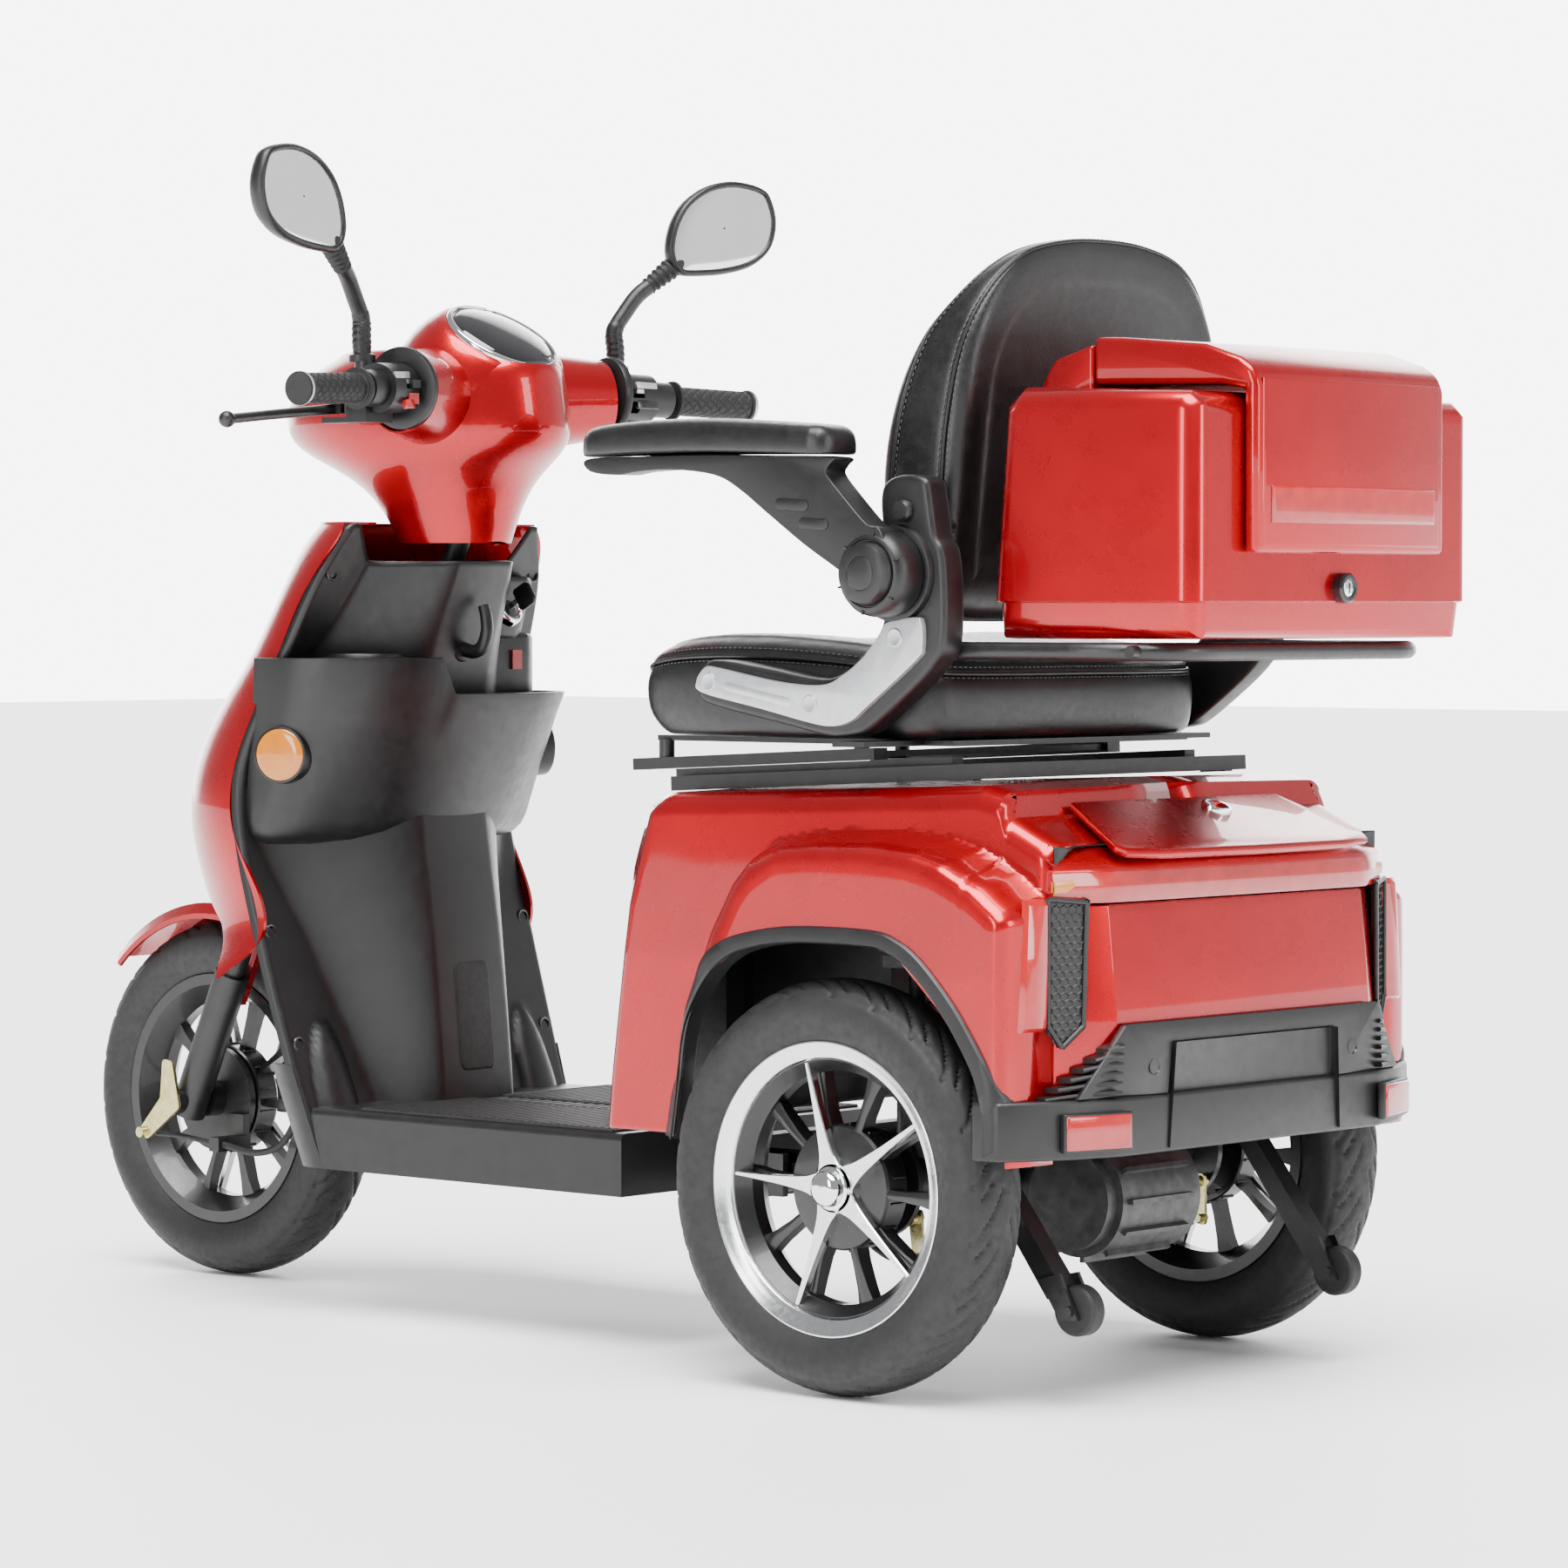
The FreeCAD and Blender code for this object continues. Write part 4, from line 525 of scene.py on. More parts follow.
def flank(x, z):
    """Half-width of the body at a point of its side view."""
    base = 268.0 - 4.0 * max(0.0, (z - 420) / 180)
    d, _ = nearest_on(FENDER, x, z)
    d = d if inside(FENDER, x, z) else -d
    soft = lerp_table([(60, 13), (150, 30), (230, 52)], x)
    t = (d + 0.18 * soft) / soft
    bulge = 0.0 if t <= 0 else 1 - math.exp(-(t ** 1.6) * 1.7)
    y = base + 66.0 * bulge
    high = z - (body_top(x) - 24)
    if high > 0:
        y -= 24 - math.sqrt(max(0.0, 24 * 24 - high * high))
    edge = x - (lerp_table(BODY_FRONT, z) - 16)
    if edge > 0:
        y -= 16 - math.sqrt(max(0.0, 16 * 16 - min(edge, 16) ** 2))
    tail = -218 - x
    if tail > 0:
        y -= 14 - math.sqrt(max(0.0, 14 * 14 - min(tail, 14) ** 2))
    return y


def body_side_mesh():
    """The left flank with its wheel bulge and arch, the nose and half of the top."""
    cols, rows = 150, 104
    pts, keep = [], {}
    for i in range(cols + 1):
        t = i / cols
        line = []
        for j in range(rows + 1):
            s = j / rows
            front = lerp_table(BODY_FRONT, 240 + s * 340)
            x = front + (-232 - front) * t
            top = body_top(x)
            z = 240 + (top - 240) * (1 - (1 - s) ** 1.35)
            if t > 0.0:
                front = lerp_table(BODY_FRONT, z)
                x = front + (-232 - front) * t
            line.append([x, flank(x, z), z])
        pts.append(line)
    inner = [[inside(ARCH, p[0], p[2]) for p in line] for line in pts]
    for i, line in enumerate(pts):
        for j, p in enumerate(line):
            if inner[i][j]:
                around = [(i + a, j + b) for a in (-1, 0, 1) for b in (-1, 0, 1) if 0 <= i + a <= cols and 0 <= j + b <= rows]
                if any(not inner[a][b] for a, b in around):
                    _, (x, z) = nearest_on(ARCH, p[0], p[2])
                    keep[(i, j)] = (x, flank(x, z), z)
    for (i, j), p in keep.items():
        pts[i][j] = list(p)
    ends = []
    for line in pts:
        x, y, z = line[-1]
        crown = [(x, y * k, z + 3 * (1 - k) - 0.0) for k in (0.96, 0.8, 0.5, 0.25, 0.0)]
        ends.append(crown)
    verts, index, faces = [], {}, []
    for i, line in enumerate(pts):
        full = [tuple(p) for p in line] + ends[i]
        for j, p in enumerate(full):
            index[(i, j)] = len(verts)
            verts.append(P(*p))
    last = rows + 5
    for i in range(cols):
        for j in range(last):
            quad = [(i, j), (i + 1, j), (i + 1, j + 1), (i, j + 1)]
            if all(b <= rows and inner[a][b] for a, b in quad):
                continue
            faces.append(tuple(index[q] for q in quad))
    for j in range(last):                                             # nose
        a, b = index[(0, j)], index[(0, j + 1)]
        p, q = verts[a], verts[b]
        steps = []
        for v in (p, q):
            steps.append([len(verts) + k for k in range(2)])
            verts.append(Vector((v.x + 0.004, v.y * 0.9, v.z)))
            verts.append(Vector((v.x + 0.004, 0.0, v.z)))
        faces += [(a, b, steps[1][0], steps[0][0]), (steps[0][0], steps[1][0], steps[1][1], steps[0][1])]
    for j in range(rows):                                             # tail return behind the bulge
        a, b = index[(cols, j)], index[(cols, j + 1)]
        p, q = verts[a], verts[b]
        n = len(verts)
        verts += [Vector((p.x - 0.001, 0.262, p.z)), Vector((q.x - 0.001, 0.262, q.z))]
        faces.append((a, b, n + 1, n))
    mesh = mesh_of("side", verts, faces)
    bm = bmesh.new()
    bm.from_mesh(mesh)
    bmesh.ops.remove_doubles(bm, verts=bm.verts, dist=0.0002)
    loose = [v for v in bm.verts if not v.link_faces]
    bmesh.ops.delete(bm, geom=loose, context="VERTS")
    bmesh.ops.recalc_face_normals(bm, faces=bm.faces)
    outer = max(bm.faces, key=lambda f: f.calc_center_median().y)
    if outer.normal.y < 0:
        bmesh.ops.reverse_faces(bm, faces=bm.faces)
    bm.to_mesh(mesh)
    bm.free()
    return mesh


def rear_body():
    left = body_side_mesh()
    shell = joined("rear_body_look", [left, mirrored(left)])
    o = link("rear_body_look", shell, [M["red_paint"], M["black_plastic"]], "chassis", angle=40)
    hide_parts("rear_body")
    thick = o.modifiers.new("wall", "SOLIDIFY")
    thick.thickness = 0.003
    thick.offset = -1
    thick.material_offset = 1
    thick.material_offset_rim = 1
    # tail: centre panel with cut corners, its upper edge sloping into the hatch
    tail = [(-267, 207), (-236, 264), (-214, 264), (-214, -264), (-236, -264), (-267, -207)]
    rows = []
    for z, lean in ((300, 0), (312, 0), (374, 1), (430, -4), (478, -9), (486, -10), (487, -12)):
        dx = lean
        inset = 3 if z in (487, 300) else 0
        rows.append([P(x - dx if x < -200 else x, y - math.copysign(inset, y), z) for x, y in tail])
    panel = grid("tail", rows, close_u=True, caps=True)
    bevel_mesh(panel, 0.006, 3, 20)
    return link("tail_panel", panel, M["red_paint"], "chassis", angle=30)


rear_body()


# ---- tail: bumper, hatch, lamps, grilles ----------------------------------------------------------
def plate_on(name, corners, thickness, mat, slot, body, bevel=0.0008, inset_rows=None):
    """A thin plate over four or more corners lying near one plane."""
    pts = [P(*c) for c in corners]
    normal = (pts[1] - pts[0]).cross(pts[2] - pts[0]).normalized()
    n = len(pts)
    verts = pts + [p + normal * thickness for p in pts]
    faces = [tuple(range(n)), tuple(range(n, 2 * n))] + [(i, (i + 1) % n, n + (i + 1) % n, n + i) for i in range(n)]
    mesh = mesh_of(name, verts, faces)
    bevel_mesh(mesh, bevel, 2)
    return link(name, mesh, mat, body, angle=35)


def bumper():
    """Wrap-round bumper: low band, raised middle with the plate recess, louvred corners."""
    plan = [(-198, 340), (-226, 335), (-262, 268), (-278, 212), (-278, -212), (-262, -268), (-226, -335), (-198, -340)]
    inner = [(-198, 334), (-220, 329), (-255, 262), (-270, 207), (-270, -207), (-255, -262), (-220, -329), (-198, -334)]
    meshes = []
    rows = []
    for k, (out, inn) in enumerate(zip(plan, inner)):
        low = 246 if abs(out[1]) > 330 else 246
        high = 303
        rows.append([P(*out, low + 2), P(*out, high - 3), P(out[0] * 0.992, out[1] * 0.994, high), P(*inn, high), P(*inn, low), P(out[0] * 0.992, out[1] * 0.994, low)])
    meshes.append(grid("band", rows, close_u=True, caps=True))
    face = [(262, 303), (208, 371), (204, 373), (-204, 373), (-208, 371), (-262, 303), (-140, 303), (-133, 352), (133, 352), (140, 303)]
    mid = mesh_of("mid", [P(-279, y, z) for y, z in face] + [P(-271, y, z) for y, z in face],
                  [tuple(range(10)), tuple(range(10, 20))] + [(i, (i + 1) % 10, 10 + (i + 1) % 10, 10 + i) for i in range(10)])
    bm = bmesh.new()
    bm.from_mesh(mid)
    for v in bm.verts:
        if abs(v.co.y) > 0.25:
            v.co.x += 0.014
    bmesh.ops.triangulate(bm, faces=[f for f in bm.faces if len(f.verts) > 4])
    bm.to_mesh(mid)
    bm.free()
    meshes.append(mid)
    recess = [(-272.5, 133, 352), (-272.5, -133, 352), (-270, -140, 250), (-270, 140, 250)]
    back = mesh_of("recess", [P(*p) for p in recess] + [P(p[0] - 10.5, p[1], p[2]) for p in recess],
                   [(0, 1, 2, 3), (0, 1, 5, 4), (1, 2, 6, 5), (3, 0, 4, 7)])
    meshes.append(back)
    body = joined("rear_bumper_look", meshes)
    bevel_mesh(body, 0.0022, 2, 30)
    o = link("rear_bumper_look", body, M["black_plastic"], "chassis", angle=30)
    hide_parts("rear_bumper")
    holes = []
    for s in (1, -1):
        ring = [P(-278.2, s * 163 + 7.8 * math.cos(a), 330 + 7.8 * math.sin(a)) for a in [2 * math.pi * k / 28 for k in range(28)]]
        inner_ring = [p + Vector((-0.0012, 0, 0)) for p in ring]
        back_ring = [P(-276.5, s * 163 + 6.2 * math.cos(a), 330 + 6.2 * math.sin(a)) for a in [2 * math.pi * k / 28 for k in range(28)]]
        holes.append(grid("hole", [ring, inner_ring, back_ring], close_u=True, caps=True))
    link("bumper_holes", joined("bumper_holes", holes), M["black_gloss"], "chassis", angle=40)
    fins = []
    for s in (1, -1):
        for k in range(7):
            t = k / 6
            z = 300 + 8 + 54 * t
            y0, y1 = 210 + 4 * (1 - t), 288 - 74 * t
            if y1 - y0 < 6:
                continue
            x0, x1 = -276, -276 + (y1 - 210) * 0.45
            line = [P(x0, s * y0, z), P((x0 + x1) / 2 - 2, s * (y0 + y1) / 2, z - 1), P(x1, s * y1, z - 5)]
            path = smooth_path(line, 4)
            fins.append(grid("fin", [[p + Vector((-0.003, 0, 0.0022)), p + Vector((-0.0045, 0, 0)), p + Vector((-0.003, 0, -0.0022)),
                                      p + Vector((0.012, 0, -0.003)), p + Vector((0.012, 0, 0.0022))] for p in path], close_u=True, caps=True))
    link("bumper_louvres", joined("bumper_louvres", fins), M["black_plastic"], "chassis", angle=30)


def arch_trims():
    """Rounded black lips that follow each wheel arch down to the bumper."""
    route = [(262, 238), (246, 300), (196, 378), (166, 418), (134, 440), (98, 452), (35, 461), (-62, 461), (-100, 452), (-132, 432),
             (-172, 392), (-206, 346), (-222, 318), (-230, 300), (-232, 262)]
    inner = [(238, 236), (222, 300), (176, 368), (148, 404), (124, 424), (94, 436), (35, 444), (-62, 444), (-92, 437), (-118, 422),
             (-156, 384), (-192, 332), (-203, 300), (-207, 280), (-206, 250)]
    a, b = smooth_2d(route, 5), smooth_2d(inner, 5)
    looks = []
    for s in (1, -1):
        rows = []
        for (x0, z0), (x1, z1) in zip(a, b):
            def lip(t, out):
                x, z = x0 + (x1 - x0) * t, z0 + (z1 - z0) * t
                base = max(flank(min(x, 262), z), 262)
                return P(x, s * min(base + out, 341), z)
            rows.append([lip(0, -3), lip(0.02, 2.0), lip(0.12, 4.2), lip(0.5, 5.2), lip(0.88, 5.0), lip(0.98, 3.0), lip(1.0, 0), lip(1.05, -22), lip(0.9, -22), lip(0.8, -3)])
        looks.append(grid("trim", rows, close_u=True, caps=True))
    o = link("arch_trims_look", joined("arch_trims_look", looks), M["black_plastic"], "chassis", angle=40)
    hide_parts("arch_trims")


def hexagons(name, region, at, size, depth, wall, body):
    """A honeycomb of raised walls inside a (u, v) region; at maps (u, v, w) to space."""
    verts, faces = [], []
    step_u, step_v = size * math.sqrt(3), size * 1.5
    us = [u for u, v in region]
    vs = [v for u, v in region]
    row = 0
    v = min(vs)
    while v <= max(vs):
        u = min(us) + (step_u / 2 if row % 2 else 0)
        while u <= max(us):
            if inside(region, u, v):
                base = len(verts)
                for ring_r, w in ((size, 0), (size - wall, 0), (size - wall * 1.6, -depth)):
                    for k in range(6):
                        a = math.pi / 6 + math.pi / 3 * k
                        verts.append(at(u + ring_r * math.cos(a), v + ring_r * math.sin(a), w))
                for k in range(6):
                    m = (k + 1) % 6
                    faces.append((base + k, base + m, base + 6 + m, base + 6 + k))
                    faces.append((base + 6 + k, base + 6 + m, base + 12 + m, base + 12 + k))
                faces.append(tuple(base + 12 + k for k in range(6)))
            u += step_u
        v += step_v
        row += 1
    return mesh_of(name, verts, faces)


def grilles():
    nets, pans = [], []
    region = [(238, 490), (276, 494), (276, 374), (262, 352), (241, 372)]
    for s in (1, -1):
        def at(u, v, w, s=s):
            x = -252.8 + (u - 238) * 0.44
            return P(x - w * 0.9 - 1.4, s * (u + w * -0.4), v)
        nets.append(hexagons("net", region, at, 4.6, 2.2, 0.55, "chassis"))
        rim = [at(u, v, 0.6) for u, v in region]
        for a, b in zip(rim, rim[1:] + rim[:1]):
            nets.append(grid("rim", tube_rows([a, a.lerp(b, 0.5), b], 0.0026, 8), close_u=True, caps=True))
        pan = [at(u, v, -1.8) for u, v in region]
        pans.append(mesh_of("pan", pan + [p + Vector((0.003, 0, 0)) for p in pan], [tuple(range(5)), tuple(range(5, 10))] +
                            [(i, (i + 1) % 5, 5 + (i + 1) % 5, 5 + i) for i in range(5)]))
    o = link("tail_grilles_look", joined("tail_grilles_look", nets + pans), M["black_plastic"], "chassis", angle=20)
    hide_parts("tail_grilles")


TAIL_PLAN = [(-238, 268), (-252, 236), (-261, 212), (-263.5, 196), (-264.5, 120), (-265, 0), (-264.5, -120), (-263.5, -196), (-261, -212), (-252, -236), (-238, -268)]


def tail_shelf():
    """Sloping red strip between the light bar and the hatch."""
    rows = []
    for x, y in TAIL_PLAN:
        rows.append([P(x + 10, y * 0.97, 515), P(x + 1.0, y * 0.995, 519), P(x + 2.5, y * 0.992, 524), P(x + 8, y * 0.985, 529), P(max(x + 18, -246), y * 0.975, 533),
                     P(-222, y * 0.955, 545), P(-222, y * 0.955, 535), P(-230, y * 0.955, 515)])
    link("tail_shelf", grid("tail_shelf", rows, close_u=True, caps=True), M["red_paint"], "chassis", angle=40)


def tail_lights():
    """Light bar wrapping both corners, upright lamps, small amber strips."""
    rows = []
    for x, y in TAIL_PLAN:
        rows.append([P(x + 12, y * 0.97, 489), P(x + 1.5, y, 489), P(x, y, 492), P(x - 0.8, y, 505), P(x + 1.2, y, 518), P(x + 3.5, y, 521), P(x + 14, y * 0.97, 521)])
    bar = grid("bar", rows, close_u=True, caps=True)
    lamps = []
    for s in (1, -1):
        profile = [(-229.5, 312), (-236, 309), (-240, 300), (-241, 290), (-239, 280), (-229, 277)]
        ring = []
        for z, k in ((368, 0.5), (372, 1), (430, 1), (488, 1), (494, 0.5)):
            dx = 0 if z < 480 else 1
            ring.append([P(-229 + (x + 229) * k + dx, s * (y - (z - 370) * 0.07), z) for x, y in profile])
        lamps.append(grid("lamp", ring, close_u=True, caps=True))
    o = link("tail_lights_look", joined("tail_lights_look", [bar] + lamps), M["red_lens"], "chassis", angle=35)
    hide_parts("tail_lights")
    strips = []
    for s in (1, -1):
        line = [P(-236.5 - 14 * t, s * (266 - 44 * t) + s * 2.0, 505 + 1.5 * t) for t in (0, 0.33, 0.66, 1)]
        strips.append(grid("strip", [[p + Vector((-0.0035, 0, 0.006)), p + Vector((-0.0048, 0, 0)), p + Vector((-0.0035, 0, -0.006)), p + Vector((0.001, 0, -0.005)),
                                      p + Vector((0.001, 0, 0.005))] for p in line], close_u=True, caps=True))
    link("turn_strips", joined("turn_strips", strips), M["amber_lens"], "chassis", angle=40)


def hatch():
    """Sloping tail hatch with rounded edges and a chromed lock."""
    outline = [(-178, 168), (-262, 204), (-272, 198), (-282, 150), (-283, 0), (-282, -150), (-272, -198), (-262, -204), (-178, -168)]
    def height(x):
        return 582 + (x + 178) * 0.43
    rows = []
    for inset, dz in ((7, -10.5), (2, -9), (0, -6.5), (0, -3.5), (1.6, -1.0), (4.5, 0)):
        ring = []
        for x, y in outline:
            k = 1 - inset / 200
            xx = x + (inset if x < -200 else -inset * 0.6)
            ring.append(P(xx, y * k, height(x) + dz + (2.0 if abs(y) < 170 and x < -270 else 0)))
        rows.append(ring)
    mesh = grid("hatch", rows, close_u=True, caps=True)
    o = link("tail_hatch_look", mesh, M["red_paint"], "hatch", angle=40)
    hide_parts("tail_hatch")
    way = Vector((-0.39, 0, 0.92)).normalized()
    at = P(-203, -36, 571.5)
    lock = lathe_on("lock", [(0, 0.0), (0.0, 0.006), (0.0012, 0.0075), (0.002, 0.011), (0.0036, 0.0125), (0.0036, 0.0150), (0.001, 0.016), (-0.003, 0.016)], at + way * 0.0005, way, 40)
    link("hatch_lock", lock, M["chrome"], "hatch", angle=40)


def lathe_on(name, profile, at, way, steps=48):
    """Turns a (height, radius) profile about a line through at along way."""
    side = way.orthogonal().normalized()
    up = way.cross(side)
    rows = []
    for i in range(steps):
        a = 2 * math.pi * i / steps
        rows.append([at + way * h + (side * math.cos(a) + up * math.sin(a)) * r for h, r in profile])
    mesh = grid(name, rows, close_v=True)
    bm = bmesh.new()
    bm.from_mesh(mesh)
    bmesh.ops.remove_doubles(bm, verts=bm.verts, dist=0.00001)
    bmesh.ops.recalc_face_normals(bm, faces=bm.faces)
    bm.to_mesh(mesh)
    bm.free()
    return mesh


def reflectors():
    plates, frames, ambers = [], [], []
    for s in (1, -1):
        c = P(-272.6, s * 244, 272)
        out = Vector((-0.954, s * 0.30, 0)).normalized()
        along = Vector((0.30, s * 0.954, 0)).normalized()
        for size, depth, bag in (((0.0375, 0.0165), 0.006, plates), ((0.0395, 0.0185), 0.0042, frames)):
            ring = []
            for k, d in ((1.0, -0.004), (1.0, depth * 0.7), (0.94, depth)):
                ring.append([c + out * d + along * (sx * size[0] * k) + Vector((0, 0, sz * size[1] * k)) for sx, sz in ((-1, -1), (1, -1), (1, 1), (-1, 1))])
            mesh = grid("plate", ring, close_u=True, caps=True)
            bevel_mesh(mesh, 0.0012, 2)
            bag.append(mesh)
        way = Vector((-0.33, s * 0.944, 0)).normalized()
        ambers.append(lathe_on("amber", [(0.0072, 0), (0.0070, 0.018), (0.0062, 0.0265), (0.0045, 0.0285), (0.0, 0.0285), (-0.004, 0.0285)], P(892, s * 203.5, 610), way, 64))
        frames.append(lathe_on("ring", [(0.0040, 0.0284), (0.0052, 0.0290), (0.0045, 0.0310), (0.0, 0.0318), (-0.012, 0.0322)], P(892, s * 203.5, 610), way, 64))
    o = link("reflectors_look", joined("reflectors_look", plates), M["red_lens"], "chassis", angle=40)
    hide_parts("reflectors")
    link("reflector_frames", joined("reflector_frames", frames), M["black_plastic"], "chassis", angle=40)
    link("side_reflectors", joined("side_reflectors", ambers), M["amber_lens"], "chassis", angle=40)


bumper()
arch_trims()
grilles()
tail_shelf()
tail_lights()
hatch()
reflectors()


# ---- luggage box ------------------------------------------------------------------------------------
def luggage_box():
    """Box tub with its seam, lid band with a raised panel, reflector strip and lock ring."""
    tub = [(-122, 741), (-375.5, 741), (-375.5, 962), (-362, 976), (-162, 984), (-141, 966)]
    upper = prism("upper", tub, -0.229, 0.229, plane="xz")
    upper.transform(Matrix.Diagonal((0.001, 1, 0.001, 1)))
    upper.transform(Matrix.Translation((-X_MID, 0, 0)))
    bm = bmesh.new()
    bm.from_mesh(upper)
    sides = [e for e in bm.edges if abs(abs((e.verts[0].co.y + e.verts[1].co.y) / 2) - 0.229) < 0.001 and abs(e.verts[0].co.y - e.verts[1].co.y) < 0.001]
    bmesh.ops.bevel(bm, geom=sides, offset=0.021, segments=6, profile=0.5, affect="EDGES", clamp_overlap=True)
    cross = [e for e in bm.edges if abs(e.verts[0].co.y - e.verts[1].co.y) > 0.3 and e.calc_face_angle(0) > 0.35]
    bmesh.ops.bevel(bm, geom=cross, offset=0.009, segments=4, profile=0.5, affect="EDGES", clamp_overlap=True)
    # seam of the tray and a slight step under it
    for z in (0.7755, 0.7775):
        bmesh.ops.bisect_plane(bm, geom=bm.verts[:] + bm.edges[:] + bm.faces[:], plane_co=(0, 0, z), plane_no=(0, 0, 1))
    centre = Vector((-0.249 - X_MID, 0, 0))
    for v in bm.verts:
        if v.co.z < 0.7757:
            flat = Vector((v.co.x - centre.x, v.co.y, 0))
            drop = 0.004 + (0.7757 - v.co.z) * 0.09
            v.co.x -= math.copysign(drop, flat.x) if abs(flat.x) > 0.09 else 0
            v.co.y -= math.copysign(drop, flat.y) if abs(flat.y) > 0.17 else 0
    bm.to_mesh(upper)
    bm.free()
    hump = [(-128, 975), (-129, 982), (-142, 1004), (-150, 1013), (-195.5, 1026), (-195.5, 975)]
    neck = prism("hump", hump, -0.155, 0.155)
    neck.transform(Matrix.Diagonal((0.001, 1, 0.001, 1)))
    neck.transform(Matrix.Translation((-X_MID, 0, 0)))
    bevel_mesh(neck, 0.006, 3, 20)
    o = link("box_base_look", joined("box_base_look", [upper, neck]), M["red_paint"], "seat", angle=35)
    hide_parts("box_base")
    lid = [(-196.5, 987), (-196.5, 1033.5), (-230, 1032), (-330, 1023), (-372, 1009), (-387, 999), (-393.5, 985), (-393.5, 823), (-377.2, 823), (-377.2, 979), (-350, 983.5)]
    band = prism("band", lid, -0.1555, 0.1555)
    band.transform(Matrix.Diagonal((0.001, 1, 0.001, 1)))
    band.transform(Matrix.Translation((-X_MID, 0, 0)))
    bevel_mesh(band, 0.0065, 4, 20)
    raised = []
    for z0, z1, y0, dep in ((829, 990, 146, 1.6),):
        ring = []
        for inset, out in ((0, 0.0), (1.5, 1.0), (3.5, 1.6)):
            ring.append([P(-393.2 - out, s * (y0 - inset), z) for s, z in ((-1, z0 + inset), (1, z0 + inset), (1, z1 - inset), (-1, z1 - inset))])
        raised.append(grid("raised", ring, close_u=True, caps=True))
    o = link("box_lid_look", joined("box_lid_look", [band] + raised), M["red_paint"], "lid", angle=35)
    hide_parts("box_lid")
    ring = []
    for inset, out in ((0, -1.5), (0, 1.0), (1.6, 2.4), (4, 2.8)):
        ring.append([P(-395 - out, s * (134 - inset), z) for s, z in ((-1, 852 + inset), (1, 852 + inset), (1, 887 - inset), (-1, 887 - inset))])
    strip = grid("strip", ring, close_u=True, caps=True)
    bevel_mesh(strip, 0.0008, 2, 60)
    link("lid_reflector", strip, M["red_lens"], "lid", angle=40)
    way = Vector((-1, 0, 0))
    at = P(-376, -6, 790)
    ring = lathe_on("lock_ring", [(0.0095, 0.0085), (0.0105, 0.0095), (0.0105, 0.0125), (0.0085, 0.0148), (0.0005, 0.0150), (-0.003, 0.0150)], at, way, 48)
    o = link("box_lock_look", ring, M["black_gloss"], "lock", angle=40)
    barrel = lathe_on("lock_barrel", [(0.0098, 0), (0.0098, 0.0075), (0.0088, 0.0088), (0.004, 0.0088)], at, way, 40)
    o2 = link("box_lock_barrel", barrel, M["chrome"], "lock", angle=40)
    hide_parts("box_lock")
    # a thin gloss-black bar on the barrel's face stands for the keyway: painted shade in place of a cut slot
    slit = prism("slit", [(-0.0010, -0.005), (0.0010, -0.005), (0.0010, 0.005), (-0.0010, 0.005)], 0.0, 0.0004, 0, plane="yz")
    shifted(slit, at + Vector((-0.0102, 0, 0)))
    link("box_lock_slit", slit, M["black_gloss"], "lock", angle=0)


luggage_box()


# ---- seat, back and armrests -----------------------------------------------------------------------
def plan_ring(outline, steps):
    """Evenly smoothed closed outline with its outward normals, in millimetres."""
    pts = [Vector((u, v, 0)) for u, v in outline]
    n = len(pts)
    line = []
    for i in range(n):
        a, b, c, d = pts[i - 1], pts[i], pts[(i + 1) % n], pts[(i + 2) % n]
        for k in range(steps):
            t = k / steps
            line.append(0.5 * ((2 * b) + (c - a) * t + (2 * a - 5 * b + 4 * c - d) * t * t + (3 * b - a - 3 * c + d) * t ** 3))
    area = sum(p.x * q.y - q.x * p.y for p, q in zip(line, line[1:] + line[:1]))
    sign = 1 if area > 0 else -1
    out = []
    for i, p in enumerate(line):
        way = line[(i + 1) % len(line)] - line[i - 1]
        out.append((p.x, p.y, sign * way.y / way.length, -sign * way.x / way.length))
    return out


def inset_ring(ring, d):
    return [(x - nx * d, y - ny * d) for x, y, nx, ny in ring]


def bead(name, points, radius, mat, body, slot, closed=True):
    """A thin rope along a closed path."""
    pts = [Vector(p) for p in points]
    n = len(pts)
    rows = []
    for i, p in enumerate(pts):
        way = (pts[(i + 1) % n] - pts[i - 1]).normalized()
        side = way.cross(Vector((0, 0, 1)))
        side = side.normalized() if side.length > 0.01 else Vector((0, 1, 0))
        up = side.cross(way)
        rows.append([p + (side * math.cos(t) + up * math.sin(t)) * radius for t in [math.pi * k / 4 for k in range(8)]])
    return grid(name, rows, close_u=True, close_v=closed)


def stitches(points, normals, length=0.0042, pitch=0.0068, width=0.0011, closed=True):
    """Short raised threads along a path, each a small rounded bar lying on the surface."""
    pts = [Vector(p) for p in points] + ([Vector(points[0])] if closed else [])
    nrm = [Vector(v) for v in normals] + ([Vector(normals[0])] if closed else [])
    verts, faces = [], []
    gone, due = 0.0, 0.0
    for i in range(len(pts) - 1):
        seg = pts[i + 1] - pts[i]
        span = seg.length
        while due < gone + span:
            t = (due - gone) / span
            at = pts[i].lerp(pts[i + 1], t)
            up = nrm[i].lerp(nrm[i + 1], t).normalized()
            way = seg.normalized()
            side = up.cross(way)
            base = len(verts)
            for along, w in ((-0.5, 0.3), (-0.3, 1.0), (0.3, 1.0), (0.5, 0.3)):
                for s, h in ((-1, 0.0), (-0.5, 0.7), (0.5, 0.7), (1, 0.0)):
                    verts.append(at + way * along * length + side * s * w * width / 2 + up * h * w * width * 0.8)
            for a in range(3):
                for b in range(3):
                    k = base + a * 4 + b
                    faces.append((k, k + 1, k + 5, k + 4))
            due += pitch
        gone += span
    return mesh_of("stitches", verts, faces)


